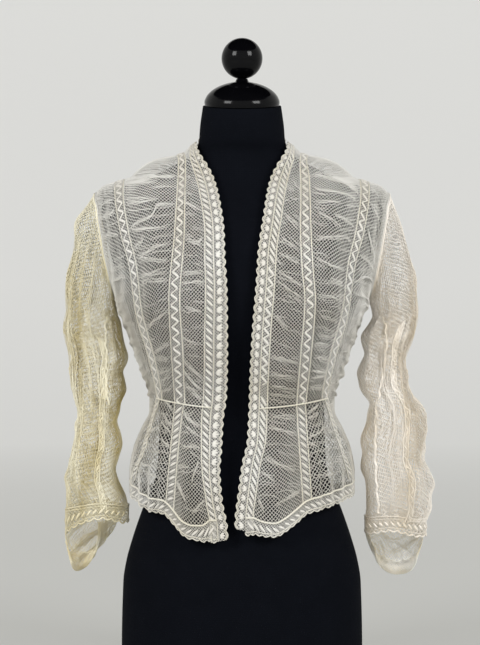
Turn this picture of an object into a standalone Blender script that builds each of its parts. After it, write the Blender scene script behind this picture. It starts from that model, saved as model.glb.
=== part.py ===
"""Lace cardigan worn open on a limbless dress form.

Metres, +Z up, the garment's front faces -Y, the form stands on z = 0.
Tables hold millimetres, a row for each section or station, and are scaled by MM.
Every cloth piece is a wall grown outwards from a grid of points on one worn surface.
"""
from collections import namedtuple

import bmesh
import bpy
import numpy as np

MM = 0.001

# Driving dimensions, millimetres
SEAM = 0.3
NET_WALL = 1.1
LACE_WALL = 1.3
BORDER_RISE = 0.6
CORD_RADIUS = 1.3
ROUNDNESS = 2.3
UNDERARM_Z = 487.0
SHOULDER_TIP_Z = 626.0
WAIST_FRONT_Z = 350.0
WAIST_SIDE_RISE = 14.0
WAIST_HALF_WIDTH = 118.0
HEM_BAND_DROP = 15.0
PEPLUM_EASE = 0.5
SCALLOP_DEPTH = 3.0
ARM_GAP = 1.8
BACK_SEAM_TURN = 0.005
NECK_EDGING_GAP = 0.6
NECK_EDGING_RISE = 6.0
NECK_EDGING_START = 0.12
NECK_SCALLOPS = 11
NECK_EDGING_HEIGHT = 4.0
SHARP_ANGLE = 40.0

# Grid densities
UPPER_ROWS = 7
ARMHOLE_ROWS = 8
RIDGE_CROWDING = 1.6
PEPLUM_ROWS = 6
SCALLOPS_PER_ROW = 2
POINTS_PER_SCALLOP = 3
FORM_SEGMENTS = 28
SLEEVE_CAP_RINGS = 4
BACK_COLUMNS = 15
BACK_PEPLUM_COLUMNS = 25
WAIST_CORD_POINTS = 10
CORD_SIDES = 6
SOLVE_STEPS = 8

SIDES = {"left": -1.0, "right": 1.0}

# Dress form: half width, depth to the front and back, and middle of each level ring
FormRing = namedtuple("FormRing", "z half_width front back middle")
FORM_RINGS = (
    FormRing(0, 154, 106, 114, 0), FormRing(39, 156, 108, 118, 0),
    FormRing(124, 154, 108, 121, 0), FormRing(150, 150, 107, 120, 0),
    FormRing(179, 142, 106, 116, 0), FormRing(214, 130, 103, 108, 0),
    FormRing(264, 111, 95, 92, 0), FormRing(300, 108, 87, 82, 0),
    FormRing(348, 107, 82, 77, 0), FormRing(375, 112, 88, 79, 0),
    FormRing(400, 122, 95, 83, 0), FormRing(430, 132, 106, 88, 0),
    FormRing(470, 145, 118, 96, 0), FormRing(505, 157, 122, 101, 0),
    FormRing(545, 170, 117, 103, 0), FormRing(580, 179, 105, 103, 0),
    FormRing(604, 183, 90, 99, 0), FormRing(618, 180, 79, 92, 0),
    FormRing(629, 168, 69, 83, 0), FormRing(638, 146, 61, 75, 0),
    FormRing(650, 114, 54, 65, 0), FormRing(664, 84, 49, 57, 0),
    FormRing(678, 62, 49, 53, -1), FormRing(692, 56, 53, 51, -4),
    FormRing(712, 54.5, 53.5, 51, -7), FormRing(740, 50.7, 50, 49, -12),
)
NECK_TILT = 0.18
NECK_TILT_START_Z = 676.0

# Turned profile of the neck cap and the ball on it: height above the cap's seat, radius
CapRing = namedtuple("CapRing", "height radius")
CAP_RINGS = (
    CapRing(0, 44), CapRing(0.6, 48.2), CapRing(5, 48.8), CapRing(12, 46.4), CapRing(19, 40.5),
    CapRing(25, 31), CapRing(29, 20), CapRing(31.5, 9), CapRing(35, 7.2),
)
BALL_RADIUS = 26.6
CAP_SEGMENTS = 20
BALL_FOOT_ANGLE = 0.16
BALL_RINGS = 10

# Worn surface of the bodice and peplum, inner face of the cloth
Section = namedtuple("Section", "z half_width front back")
WORN_SECTIONS = (
    Section(180, 157, 119, 126), Section(205, 149, 118, 122), Section(235, 143, 116, 117),
    Section(265, 145, 112, 110), Section(295, 140, 107, 102), Section(320, 130, 102, 95),
    Section(345, 119, 98, 90), Section(365, 119, 99, 90), Section(395, 129, 109, 94),
    Section(422, 139, 118, 99), Section(452, 150, 125, 104), Section(487, 163, 131, 108),
    Section(520, 176, 131, 110), Section(560, 188, 122, 111), Section(600, 194, 104, 109),
    Section(612, 193, 97, 106), Section(626, 188, 85, 99), Section(634, 180, 77, 92),
    Section(639, 166, 73, 87), Section(643, 152, 70, 83), Section(646, 143, 68, 80.5),
    Section(652, 137, 64.5, 75.5), Section(659, 129, 62, 70.5), Section(665, 120, 60.5, 66),
    Section(670, 107, 59.5, 62.5), Section(674, 86, 59.5, 59.5), Section(679, 71, 60.5, 58),
    Section(684, 63, 62, 57),
)
NECK_TOP_Z = 684.0
NECK_HALF_WIDTH = 63.0

# Share of the half width where the armhole seam runs, from the underarm to the shoulder tip
ArmholeRow = namedtuple("ArmholeRow", "z share")
ARMHOLE = (
    ArmholeRow(487, 1.0), ArmholeRow(500, 0.985), ArmholeRow(530, 0.955), ArmholeRow(570, 0.938),
    ArmholeRow(600, 0.945), ArmholeRow(626, 1.0),
)

# Seam lines of the fronts: distance from the centre line at each height
EdgeRow = namedtuple("EdgeRow", "z edge edging rope")
FRONT_EDGE = {
    "left": (
        EdgeRow(186, 17, 12, 9.5), EdgeRow(205, 18, 12, 9.5), EdgeRow(236, 24, 12, 9),
        EdgeRow(274, 27, 13, 10), EdgeRow(300, 25, 15, 11), EdgeRow(336, 23, 16, 12),
        EdgeRow(365, 19, 17, 12.5), EdgeRow(420, 17.5, 17, 12.5), EdgeRow(491, 18, 15.5, 12),
        EdgeRow(546, 21, 14, 11.5), EdgeRow(573, 22, 13.5, 11), EdgeRow(611, 27.5, 13, 11),
        EdgeRow(640, 35, 12.5, 10.5), EdgeRow(664, 47, 10, 8), EdgeRow(684, 63, 5.5, 4.5),
    ),
    "right": (
        EdgeRow(186, -7, 13, 10), EdgeRow(209, -9, 13, 10), EdgeRow(247, -5, 12.5, 10.5),
        EdgeRow(283, 0, 12.5, 11), EdgeRow(309, 6, 12.5, 11), EdgeRow(344, 8, 12.5, 11),
        EdgeRow(393, 9.5, 12.5, 11), EdgeRow(450, 12.5, 12.5, 11), EdgeRow(507, 17, 12.5, 11),
        EdgeRow(547, 19.5, 12.5, 11), EdgeRow(584, 25, 12.5, 11), EdgeRow(635, 34, 12.5, 10.5),
        EdgeRow(664, 47, 10, 8), EdgeRow(684, 63, 5.5, 4.5),
    ),
}
BandRow = namedtuple("BandRow", "z inner outer")
ZIGZAG_INNER = {
    "left": (
        BandRow(345, 71, 84), BandRow(422, 73, 88.5), BandRow(486, 76.5, 91), BandRow(573, 71, 84),
        BandRow(664, 71, 81), BandRow(684, 77, 87),
    ),
    "right": (
        BandRow(345, 67, 79), BandRow(420, 72.5, 86.5), BandRow(486, 77, 91), BandRow(527, 73.5, 88),
        BandRow(575, 72, 86), BandRow(641, 73.5, 85.5), BandRow(664, 73, 82.5), BandRow(684, 77, 87),
    ),
}
ZIGZAG_OUTER = (
    BandRow(345, 99, 106), BandRow(371, 101.5, 109), BandRow(418, 110.5, 119), BandRow(464, 123, 132.5),
    BandRow(476, 125.5, 134.5), BandRow(527, 131, 141), BandRow(576, 142.5, 154), BandRow(626, 150, 162),
    BandRow(650, 150.5, 163),
)
PEPLUM_BAND = {
    "left": (BandRow(205, 86, 97), BandRow(236, 84, 95), BandRow(330, 76, 87), BandRow(365, 71, 84)),
    "right": (BandRow(205, 77, 89), BandRow(236, 75, 87), BandRow(330, 69, 81), BandRow(365, 67, 79)),
}
HemRow = namedtuple("HemRow", "offset z")
HEM_FRONT = {
    "left": (
        HemRow(36, 217), HemRow(51, 206), HemRow(62, 206), HemRow(73, 210), HemRow(84, 222), HemRow(91, 230),
        HemRow(100, 236), HemRow(112, 237), HemRow(122, 241), HemRow(134, 249), HemRow(146, 256),
    ),
    "right": (
        HemRow(12, 217), HemRow(30, 210), HemRow(41, 209), HemRow(52, 214), HemRow(68, 226), HemRow(81, 236),
        HemRow(99, 241), HemRow(118, 247), HemRow(134, 252), HemRow(146, 256),
    ),
}
HEM_EDGING = {
    "left": (HemRow(10, 190), HemRow(40, 184)),
    "right": (HemRow(-12, 203), HemRow(16, 196)),
}
HEM_BACK = (HemRow(0, 236), HemRow(80, 240), HemRow(146, 256))

# Crosswise folds of the gathered net: place up the panel, tilt across it, height
Fold = namedtuple("Fold", "place tilt height")
PANEL_FOLDS = {
    "left": (
        Fold(0.07, 0.05, 2.6), Fold(0.19, -0.03, 3.2), Fold(0.31, 0.06, 2.4), Fold(0.45, -0.05, 3.4),
        Fold(0.57, 0.04, 2.6), Fold(0.70, -0.06, 3.6), Fold(0.83, 0.05, 3.0),
    ),
    "right": (
        Fold(0.10, -0.06, 3.0), Fold(0.22, 0.04, 2.4), Fold(0.36, -0.05, 3.4), Fold(0.48, 0.03, 2.8),
        Fold(0.62, -0.06, 3.4), Fold(0.75, 0.05, 2.8), Fold(0.87, -0.04, 2.6),
    ),
}
FOLD_SPREAD = 0.034
ROWS_PER_FOLD_STEP = 2

# Sleeves: level rings below the underarm, middle and half width across, half depth, forward set
SleeveRing = namedtuple("SleeveRing", "z middle half_width half_depth forward")
SLEEVES = {
    "left": (
        SleeveRing(466, 197, 34, 27, 6), SleeveRing(441, 192, 37, 28, 9), SleeveRing(415, 187, 35, 27, 11),
        SleeveRing(376, 187, 34, 26, 13), SleeveRing(348, 186, 28, 25, 15), SleeveRing(311, 188, 30, 25, 17),
        SleeveRing(260, 194, 33, 26, 18), SleeveRing(232, 188, 38, 27, 18), SleeveRing(216, 187, 40, 27, 18),
    ),
    "right": (
        SleeveRing(466, 199, 29, 27, 6), SleeveRing(441, 191, 31, 28, 9), SleeveRing(411, 185, 29, 27, 11),
        SleeveRing(378, 184, 31, 26, 13), SleeveRing(350, 196, 34, 26, 15), SleeveRing(320, 199, 38, 26, 17),
        SleeveRing(288, 196, 42, 26, 19), SleeveRing(255, 202, 42, 26, 20), SleeveRing(222, 203, 42, 27, 20),
        SleeveRing(200, 198, 39, 27, 20),
    ),
}
SLEEVE_RINGS = 15
SLEEVE_FOLD_COUNT = 5
SLEEVE_FOLD_SHARE = 0.05
FOLD_SWING = 1.7
FOLD_SWING_RATE = 0.55
FOLD_DRIFT = 0.23
SLEEVE_BEND = (0.9, 0.5, 0.5)
CUFF_BAND_DROP = 13.0
CUFF_FLARE = 0.8
CuffDrop = namedtuple("CuffDrop", "tip_z tip_middle narrowing")
CUFF_DROPS = {"left": CuffDrop(135, 203, 0.55), "right": CuffDrop(130, 199, 0.3)}
CUFF_DROP_FLATTENING = 0.25
CUFF_DROP_POINT = 0.6
CUFF_DROP_ROWS = 6
SLEEVE_BAND_WIDTH = 10.0
SLEEVE_BAND_TURN = {"left": 0.20, "right": 0.31}

# Gathers of the peplum: how many waves and how far they stand out at the hem
FRONT_WAVES = 4
BACK_WAVES = 7
FRONT_WAVE_HEIGHT = 4.0
BACK_WAVE_HEIGHT = 8.0


def smooth(rows, key, field, at):
    """Monotone cubic curve through one named column of a table, read at the given places."""
    x = np.array([getattr(row, key) for row in rows], float)
    y = np.array([getattr(row, field) for row in rows], float)
    order = np.argsort(x)
    x, y = x[order], y[order]
    at = np.clip(np.asarray(at, float), x[0], x[-1])
    step = np.diff(x)
    slope = np.diff(y) / step
    tangent = np.zeros_like(y)
    same_way = slope[:-1] * slope[1:] > 0
    mean = 2 * slope[:-1] * slope[1:] / np.where(same_way, slope[:-1] + slope[1:], 1.0)
    tangent[1:-1] = np.where(same_way, mean, 0.0)
    tangent[0], tangent[-1] = slope[0], slope[-1]
    cell = np.clip(np.searchsorted(x, at, side="right") - 1, 0, len(x) - 2)
    t = (at - x[cell]) / step[cell]
    start = (1 + 2 * t) * (1 - t) ** 2 * y[cell] + t * (1 - t) ** 2 * step[cell] * tangent[cell]
    end = t ** 2 * (3 - 2 * t) * y[cell + 1] + t ** 2 * (t - 1) * step[cell] * tangent[cell + 1]
    return start + end


def ridge_height(offset):
    """Height of the shoulder ridge at a distance from the centre line."""
    ridge = [row for row in WORN_SECTIONS if row.z >= SHOULDER_TIP_Z]
    return smooth(ridge, "half_width", "z", np.abs(offset))


def waist_height(offset):
    """Height of the waist seam, which rises towards the sides."""
    return WAIST_FRONT_Z + WAIST_SIDE_RISE * (np.asarray(offset) / WAIST_HALF_WIDTH) ** 2


def side_limit(z):
    """Distance of the side seam or armhole seam from the centre line."""
    width = smooth(WORN_SECTIONS, "z", "half_width", z)
    share = np.where(z < UNDERARM_Z, 1.0, smooth(ARMHOLE, "z", "share", z))
    tip = smooth(WORN_SECTIONS, "z", "half_width", SHOULDER_TIP_Z)
    return np.where(z < SHOULDER_TIP_Z, width * share, tip)


def turn_of(offset, z):
    """Angle round the section, 0 at the side and a quarter turn at the centre."""
    share = np.clip(offset / smooth(WORN_SECTIONS, "z", "half_width", z), -1, 1)
    return np.arccos(np.sign(share) * np.abs(share) ** (ROUNDNESS / 2))


def worn_point(sign, turn, z, back=False):
    """Point of the worn surface: a rounded oval at each height."""
    half_width = smooth(WORN_SECTIONS, "z", "half_width", z)
    depth = smooth(WORN_SECTIONS, "z", "back" if back else "front", z)
    cosine, sine = np.cos(turn), np.sin(turn)
    x = sign * half_width * np.sign(cosine) * np.abs(cosine) ** (2 / ROUNDNESS)
    y = (1 if back else -1) * depth * np.abs(sine) ** (2 / ROUNDNESS)
    return np.stack(np.broadcast_arrays(x, y, z), axis=-1)


def bodice_rows(bottom, top):
    """Heights from the waist to the underarm level, then closer together up to the ridge."""
    lower = bottom + (UNDERARM_Z - bottom) * np.linspace(0, 1, UPPER_ROWS + 1)
    rise = 1 - (1 - np.linspace(0, 1, ARMHOLE_ROWS + 1)) ** RIDGE_CROWDING
    return np.concatenate([lower, UNDERARM_Z + (top - UNDERARM_Z) * rise[1:]])


def bodice_line(offset_at):
    """Heights and angles of one seam line from the waist to the shoulder ridge."""
    top = NECK_TOP_Z
    bottom = WAIST_FRONT_Z
    for _ in range(SOLVE_STEPS):
        top = float(ridge_height(offset_at(np.array(top))))
        bottom = float(waist_height(offset_at(np.array(bottom))))
    z = bodice_rows(bottom, top)
    return z, turn_of(offset_at(z), z)


def side_line():
    """Heights and angles of the side seam and the armhole seam."""
    bottom = float(waist_height(side_limit(np.array(WAIST_FRONT_Z))))
    z = bodice_rows(bottom, SHOULDER_TIP_Z)
    return z, turn_of(side_limit(z), z)


def peplum_line(offset_at, hem):
    """Heights and angles of one seam line from the hem up to the waist."""
    top = WAIST_FRONT_Z
    bottom = WAIST_FRONT_Z
    for _ in range(SOLVE_STEPS):
        top = float(waist_height(offset_at(np.array(top))))
        bottom = float(smooth(hem, "offset", "z", offset_at(np.array(bottom))))
    z = bottom + (top - bottom) * np.linspace(0, 1, PEPLUM_ROWS + 1)
    return z, turn_of(offset_at(z), z)


def joined(lower, upper):
    """One line through the peplum and the bodice."""
    return tuple(np.concatenate([low, high[1:]]) for low, high in zip(lower, upper))


def fill_between(sign, line_a, line_b, shares, back=False):
    """Grid of points between two seam lines, held back half a seam from each."""
    ends = [worn_point(sign, turn, z, back) for z, turn in (line_a, line_b)]
    width = np.linalg.norm(ends[1] - ends[0], axis=-1)
    inset = np.clip(SEAM / 2 / np.maximum(width, 1.0), 0, 0.2)[:, None]
    share = inset + np.asarray(shares)[None, :] * (1 - 2 * inset)
    z = line_a[0][:, None] * (1 - share) + line_b[0][:, None] * share
    turn = line_a[1][:, None] * (1 - share) + line_b[1][:, None] * share
    return worn_point(sign, turn, z, back)


def grid_normals(grid, wrap=False):
    """Unit normals of a grid from the steps to its neighbours."""
    if wrap:
        padded = np.concatenate([grid[:, -1:], grid, grid[:, :1]], axis=1)
        across = padded[:, 2:] - padded[:, :-2]
    else:
        across = np.gradient(grid, axis=1)
    along = np.gradient(grid, axis=0)
    normal = np.cross(across, along)
    return normal / np.maximum(np.linalg.norm(normal, axis=-1, keepdims=True), 1e-9)


def outward_normals(grid, centre, wrap=False):
    """Grid normals turned to point away from a centre line."""
    normal = grid_normals(grid, wrap)
    away = grid - centre
    away[..., 2] = 0
    return normal * np.sign(np.sum(normal * away))


def material(name, colour, roughness):
    """Principled material with a part's own colour."""
    finish = bpy.data.materials.new(name)
    finish.use_nodes = True
    shader = finish.node_tree.nodes["Principled BSDF"]
    shader.inputs["Base Color"].default_value = (*colour, 1.0)
    shader.inputs["Roughness"].default_value = roughness
    return finish


def add_object(name, mesh_points, faces, finish):
    """Closed mesh object from millimetre points, with its faces turned outwards."""
    shape = bmesh.new()
    corners = [shape.verts.new(tuple(point * MM)) for point in mesh_points]
    for face in faces:
        shape.faces.new([corners[index] for index in face])
    bmesh.ops.recalc_face_normals(shape, faces=shape.faces[:])
    mesh = bpy.data.meshes.new(name)
    shape.to_mesh(mesh)
    shape.free()
    mesh.materials.append(finish)
    mesh.shade_smooth()
    mesh.set_sharp_from_angle(angle=np.radians(SHARP_ANGLE))
    item = bpy.data.objects.new(name, mesh)
    bpy.context.scene.collection.objects.link(item)
    return item


def cloth_wall(name, face, other, finish, wrap=False):
    """Closed wall between two grids of the same size, joined round their open edges."""
    rows, columns = face.shape[:2]
    points = np.concatenate([face.reshape(-1, 3), other.reshape(-1, 3)])
    offset = rows * columns

    def index(row, column):
        return row * columns + column % columns

    faces = []
    spans = columns if wrap else columns - 1
    for row in range(rows - 1):
        for column in range(spans):
            quad = [index(row, column), index(row, column + 1),
                    index(row + 1, column + 1), index(row + 1, column)]
            faces.append(quad)
            faces.append([offset + corner for corner in reversed(quad)])
    edges = []
    for column in range(spans):
        edges.append((index(0, column), index(0, column + 1)))
        edges.append((index(rows - 1, column + 1), index(rows - 1, column)))
    if not wrap:
        for row in range(rows - 1):
            edges.append((index(row + 1, 0), index(row, 0)))
            edges.append((index(row, columns - 1), index(row + 1, columns - 1)))
    for first, second in edges:
        faces.append([second, first, offset + first, offset + second])
    return add_object(name, points, faces, finish)


def body_wall(name, grid, finish, thickness, raised=0.0):
    """Wall on the worn surface, grown outwards from the body over any raised folds."""
    normal = outward_normals(grid, np.zeros(3))
    face = grid + normal * np.asarray(raised)[..., None]
    return cloth_wall(name, face, face + normal * np.asarray(thickness)[..., None], finish)


def finer(grid, parts):
    """Grid with each step along it divided evenly, lying on the same straight chords."""
    places = np.arange((len(grid) - 1) * parts + 1) / parts
    low = np.minimum(places.astype(int), len(grid) - 2)
    share = (places - low).reshape(-1, *([1] * (grid.ndim - 1)))
    return grid[low] * (1 - share) + grid[low + 1] * share


def folds_across(rows, shares, folds):
    """Heights of the crosswise folds over a panel, dying away at its side seams."""
    place = np.linspace(0, 1, rows)[:, None]
    across = np.asarray(shares)[None, :]
    total = np.zeros((rows, len(shares)))
    for fold in folds:
        centre = fold.place + fold.tilt * (across - 0.5)
        total += fold.height * np.exp(-((place - centre) / FOLD_SPREAD) ** 2)
    return total * np.sin(np.pi * across) ** 0.7


BAND_SHARES = (0.0, 0.24, 0.76, 1.0)
BAND_RISES = (1.0, 0.0, 0.0, 1.0)


def lace_band(name, sign, line_a, line_b, finish):
    """Insertion band whose two border cords stand up from the outer face."""
    grid = fill_between(sign, line_a, line_b, BAND_SHARES)
    rise = LACE_WALL + BORDER_RISE * np.array(BAND_RISES)
    return body_wall(name, grid, finish, np.broadcast_to(rise, grid.shape[:2]))


def net_panel(name, sign, line_a, line_b, columns, finish, folds=()):
    """Gathered net panel with its crosswise folds standing out."""
    shares = np.linspace(0, 1, columns + 1)
    grid = fill_between(sign, line_a, line_b, shares)
    raised = np.zeros(grid.shape[:2])
    if folds:
        grid = finer(grid, ROWS_PER_FOLD_STEP)
        raised = folds_across(len(grid), shares, folds)
    return body_wall(name, grid, finish, np.full(grid.shape[:2], NET_WALL), raised)


def front_edging(name, sign, line_a, line_b, finish):
    """Narrow lace whose free edge is a row of scallops."""
    parts = POINTS_PER_SCALLOP * SCALLOPS_PER_ROW
    grid = finer(fill_between(sign, line_a, line_b, (0.0, 1.0)), parts)
    lobe = 1 - np.abs(np.sin(np.pi * np.arange(len(grid)) / POINTS_PER_SCALLOP))
    across = grid[:, 1] - grid[:, 0]
    width = np.linalg.norm(across, axis=-1)
    depth = np.minimum(SCALLOP_DEPTH, width / 3)
    normal = outward_normals(grid, np.zeros(3))
    grid[:, 0] += across * (depth * lobe / width)[:, None]
    return cloth_wall(name, grid, grid + normal * LACE_WALL, finish)


def peplum_waves(grid, count, height):
    """Gathers that grow from the waist to the hem, standing out from the body."""
    rows, columns = grid.shape[:2]
    down = 1 - np.linspace(0, 1, rows)[:, None]
    across = np.linspace(0, 1, columns)[None, :]
    wave = 0.5 - 0.5 * np.cos(2 * np.pi * count * across)
    return height * down ** 1.2 * wave * np.sin(np.pi * across) ** 0.4


def hem_band(name, edge, finish):
    """Scalloped band hanging from the lower edge of the peplum."""
    top = finer(edge, POINTS_PER_SCALLOP)
    lobe = np.abs(np.sin(np.pi * np.arange(len(top)) / POINTS_PER_SCALLOP))
    down = np.array([0.0, 0.0, 1.0])
    bottom = top - down * (HEM_BAND_DROP + SCALLOP_DEPTH * lobe)[:, None]
    grid = np.stack([top - down * SEAM, bottom])
    normal = outward_normals(grid, np.zeros(3))
    return cloth_wall(name, grid, grid + normal * LACE_WALL, finish)


def tube(name, path, radius, sides, finish):
    """Round cord along a path, closed at both ends."""
    along = np.gradient(path, axis=0)
    along /= np.linalg.norm(along, axis=-1, keepdims=True)
    side = np.cross(along, (0.0, 0.0, 1.0))
    side /= np.linalg.norm(side, axis=-1, keepdims=True)
    up = np.cross(side, along)
    angle = 2 * np.pi * np.arange(sides) / sides
    rings = (path[:, None] + radius * (side[:, None] * np.cos(angle)[None, :, None]
                                       + up[:, None] * np.sin(angle)[None, :, None]))
    points = rings.reshape(-1, 3)
    faces = [list(range(sides)), list(range(len(points) - sides, len(points)))]
    for ring in range(len(path) - 1):
        for spoke in range(sides):
            after = (spoke + 1) % sides
            faces.append([ring * sides + spoke, ring * sides + after,
                          (ring + 1) * sides + after, (ring + 1) * sides + spoke])
    return add_object(name, points, faces, finish)


def turned(name, rings, finish):
    """Solid through closed rings, with flat ends."""
    count = rings.shape[1]
    points = rings.reshape(-1, 3)
    faces = [list(range(count)), list(range(len(points) - count, len(points)))]
    for ring in range(len(rings) - 1):
        for spoke in range(count):
            after = (spoke + 1) % count
            faces.append([ring * count + spoke, ring * count + after,
                          (ring + 1) * count + after, (ring + 1) * count + spoke])
    return add_object(name, points, faces, finish)


def form_section(z, turn):
    """Points of the dress form at heights and angles round it."""
    half_width = smooth(FORM_RINGS, "z", "half_width", z)
    front = smooth(FORM_RINGS, "z", "front", z)
    back = smooth(FORM_RINGS, "z", "back", z)
    middle = smooth(FORM_RINGS, "z", "middle", z)
    cosine, sine = np.cos(turn), np.sin(turn)
    depth = np.where(sine < 0, front, back)
    x = half_width * np.sign(cosine) * np.abs(cosine) ** (2 / ROUNDNESS)
    y = middle + depth * np.sign(sine) * np.abs(sine) ** (2 / ROUNDNESS)
    top = FORM_RINGS[-1].z
    tilt = NECK_TILT * np.clip((z - NECK_TILT_START_Z) / (top - NECK_TILT_START_Z), 0, 1)
    return np.stack(np.broadcast_arrays(x, y, z + tilt * y), axis=-1)


def build_form():
    """Dress form: padded body with its neck, the turned neck cap and the ball."""
    jersey = material("black_jersey", (0.012, 0.013, 0.018), 0.9)
    gloss = material("black_lacquer", (0.006, 0.006, 0.007), 0.12)
    turn = 2 * np.pi * np.arange(FORM_SEGMENTS) / FORM_SEGMENTS
    rings = np.stack([form_section(np.full(FORM_SEGMENTS, float(ring.z)), turn) for ring in FORM_RINGS])
    turned("form_body", rings, jersey)

    top = FORM_RINGS[-1]
    angle = 2 * np.pi * np.arange(CAP_SEGMENTS) / CAP_SEGMENTS
    full = CAP_RINGS[-1].height
    cap = []
    for ring in CAP_RINGS:
        x = ring.radius * np.cos(angle)
        y = top.middle + ring.radius * np.sin(angle)
        seat = top.z + SEAM + NECK_TILT * (1 - ring.height / full) * y
        lift = NECK_TILT * ring.height / full * top.middle
        cap.append(np.stack([x, y, seat + lift + ring.height], axis=-1))
    turned("neck_cap", np.stack(cap), gloss)

    ball_bottom = cap[-1][0, 2] + SEAM
    polar = np.linspace(BALL_FOOT_ANGLE, np.pi, BALL_RINGS + 1)[:-1]
    ball = []
    for p in polar:
        reach = BALL_RADIUS * np.sin(p)
        height = ball_bottom + BALL_RADIUS * (np.cos(BALL_FOOT_ANGLE) - np.cos(p))
        ball.append(np.stack([reach * np.cos(angle), top.middle + reach * np.sin(angle),
                              np.full(CAP_SEGMENTS, height)], axis=-1))
    turned("finial_ball", np.stack(ball), gloss)


def build_front(side, net, lace, cord):
    """One front: bands and net from the edge to the side seam, bodice and peplum."""
    sign = SIDES[side]

    def edge(z):
        return smooth(FRONT_EDGE[side], "z", "edge", z)

    def edging(z):
        return edge(z) + smooth(FRONT_EDGE[side], "z", "edging", z)

    def rope(z):
        return edging(z) + smooth(FRONT_EDGE[side], "z", "rope", z)

    def band_line(rows, field):
        return bodice_line(lambda z: smooth(rows, "z", field, z))

    hem = HEM_EDGING[side]
    lines = [joined(peplum_line(line, hem), bodice_line(line)) for line in (edge, edging, rope)]
    front_edging(f"front_edging_{side}", sign, lines[0], lines[1], lace)
    lace_band(f"rope_band_{side}", sign, lines[1], lines[2], lace)

    inner = [band_line(ZIGZAG_INNER[side], field) for field in ("inner", "outer")]
    outer = [band_line(ZIGZAG_OUTER, field) for field in ("inner", "outer")]
    folds = PANEL_FOLDS[side]
    net_panel(f"front_net_strip_{side}", sign, bodice_line(rope), inner[0], 2, net)
    lace_band(f"zigzag_band_inner_{side}", sign, inner[0], inner[1], lace)
    net_panel(f"front_net_panel_{side}", sign, inner[1], outer[0], 5, net, folds)
    lace_band(f"zigzag_band_outer_{side}", sign, outer[0], outer[1], lace)
    net_panel(f"side_net_panel_{side}", sign, outer[1], side_line(), 4, net)

    build_front_peplum(side, rope, net, lace)
    build_waist_cord(side, rope, cord)


def build_front_peplum(side, rope, net, lace):
    """Peplum of one front: two gathered panels, the band between them and the hem band."""
    sign = SIDES[side]
    rows = PEPLUM_BAND[side]
    hem = HEM_FRONT[side]
    band = [peplum_line(lambda z, field=field: smooth(rows, "z", field, z), hem)
            for field in ("inner", "outer")]
    start = peplum_line(lambda z: rope(z) + PEPLUM_EASE, hem)
    end = peplum_line(side_limit, hem)
    pieces = (("peplum_inner", start, band[0], 3, net), ("peplum_band", band[0], band[1], 1, lace),
              ("peplum_outer", band[1], end, 9, net))
    lower_edge = []
    for name, line_a, line_b, columns, finish in pieces:
        grid = fill_between(sign, line_a, line_b, np.linspace(0, 1, columns + 1))
        grid[-1, :, 2] -= SEAM
        waves = peplum_waves(grid, FRONT_WAVES, FRONT_WAVE_HEIGHT if name == "peplum_outer" else 0.0)
        wall = LACE_WALL if finish is lace else NET_WALL
        body_wall(f"{name}_{side}", grid, finish, np.full(grid.shape[:2], wall), waves)
        lower_edge.append((grid + outward_normals(grid, np.zeros(3)) * waves[..., None])[0])
    edge = np.concatenate(lower_edge)
    edge[:, 2] -= SEAM
    hem_band(f"hem_band_{side}", edge, lace)


def build_waist_cord(side, rope, cord):
    """Cord laid over the waist seam, from the rope band to the outer zigzag band."""
    sign = SIDES[side]
    start = float(rope(np.array(WAIST_FRONT_Z))) + CORD_RADIUS
    end = float(smooth(ZIGZAG_OUTER, "z", "inner", WAIST_FRONT_Z))
    offset = np.linspace(start, end, WAIST_CORD_POINTS)
    z = waist_height(offset)
    path = worn_point(sign, turn_of(offset, z), z)
    away = path.copy()
    away[:, 2] = 0
    away /= np.linalg.norm(away, axis=-1, keepdims=True)
    clear = LACE_WALL + BORDER_RISE + CORD_RADIUS + SEAM
    tube(f"waist_cord_{side}", path + away * clear, CORD_RADIUS, CORD_SIDES, cord)


def build_back(net, lace):
    """Back panel, its gathered peplum and hem band, and the edging round the neck."""
    shares = np.linspace(-1, 1, BACK_COLUMNS)
    waist = waist_height(WAIST_HALF_WIDTH)
    tip = float(side_limit(np.array(SHOULDER_TIP_Z)))
    top_offset = np.maximum(np.abs(shares) * tip, NECK_HALF_WIDTH)
    top = np.minimum(ridge_height(top_offset), NECK_TOP_Z)
    z = np.stack([bodice_rows(waist, float(height)) for height in top], axis=1)
    width = side_limit(z) * np.abs(shares)[None, :]
    turn = np.maximum(turn_of(width, z), BACK_SEAM_TURN)
    turn[:, [0, -1]] += BACK_SEAM_TURN
    grid = worn_point(np.sign(shares + 1e-9)[None, :], turn, z, back=True)
    body_wall("back_panel", grid, net, np.full(grid.shape[:2], NET_WALL))

    columns = np.linspace(-1, 1, BACK_PEPLUM_COLUMNS)
    quarter = np.pi / 2 * (1 - np.abs(columns))
    quarter = np.maximum(quarter, BACK_SEAM_TURN)
    hem = smooth(HEM_BACK, "offset", "z", np.abs(columns) * HEM_BACK[-1].offset)
    rows = np.linspace(0, 1, PEPLUM_ROWS + 1)[:, None]
    z = hem[None, :] + (waist - SEAM - hem[None, :]) * rows
    grid = worn_point(np.sign(columns + 1e-9)[None, :], np.broadcast_to(quarter, z.shape), z, back=True)
    waves = peplum_waves(grid, BACK_WAVES, BACK_WAVE_HEIGHT)
    body_wall("back_peplum", grid, net, np.full(grid.shape[:2], NET_WALL), waves)
    edge = (grid + outward_normals(grid, np.zeros(3)) * waves[..., None])[0]
    edge[:, 2] -= SEAM
    hem_band("hem_band_back", edge, lace)
    build_neck_edging(lace)


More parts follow.
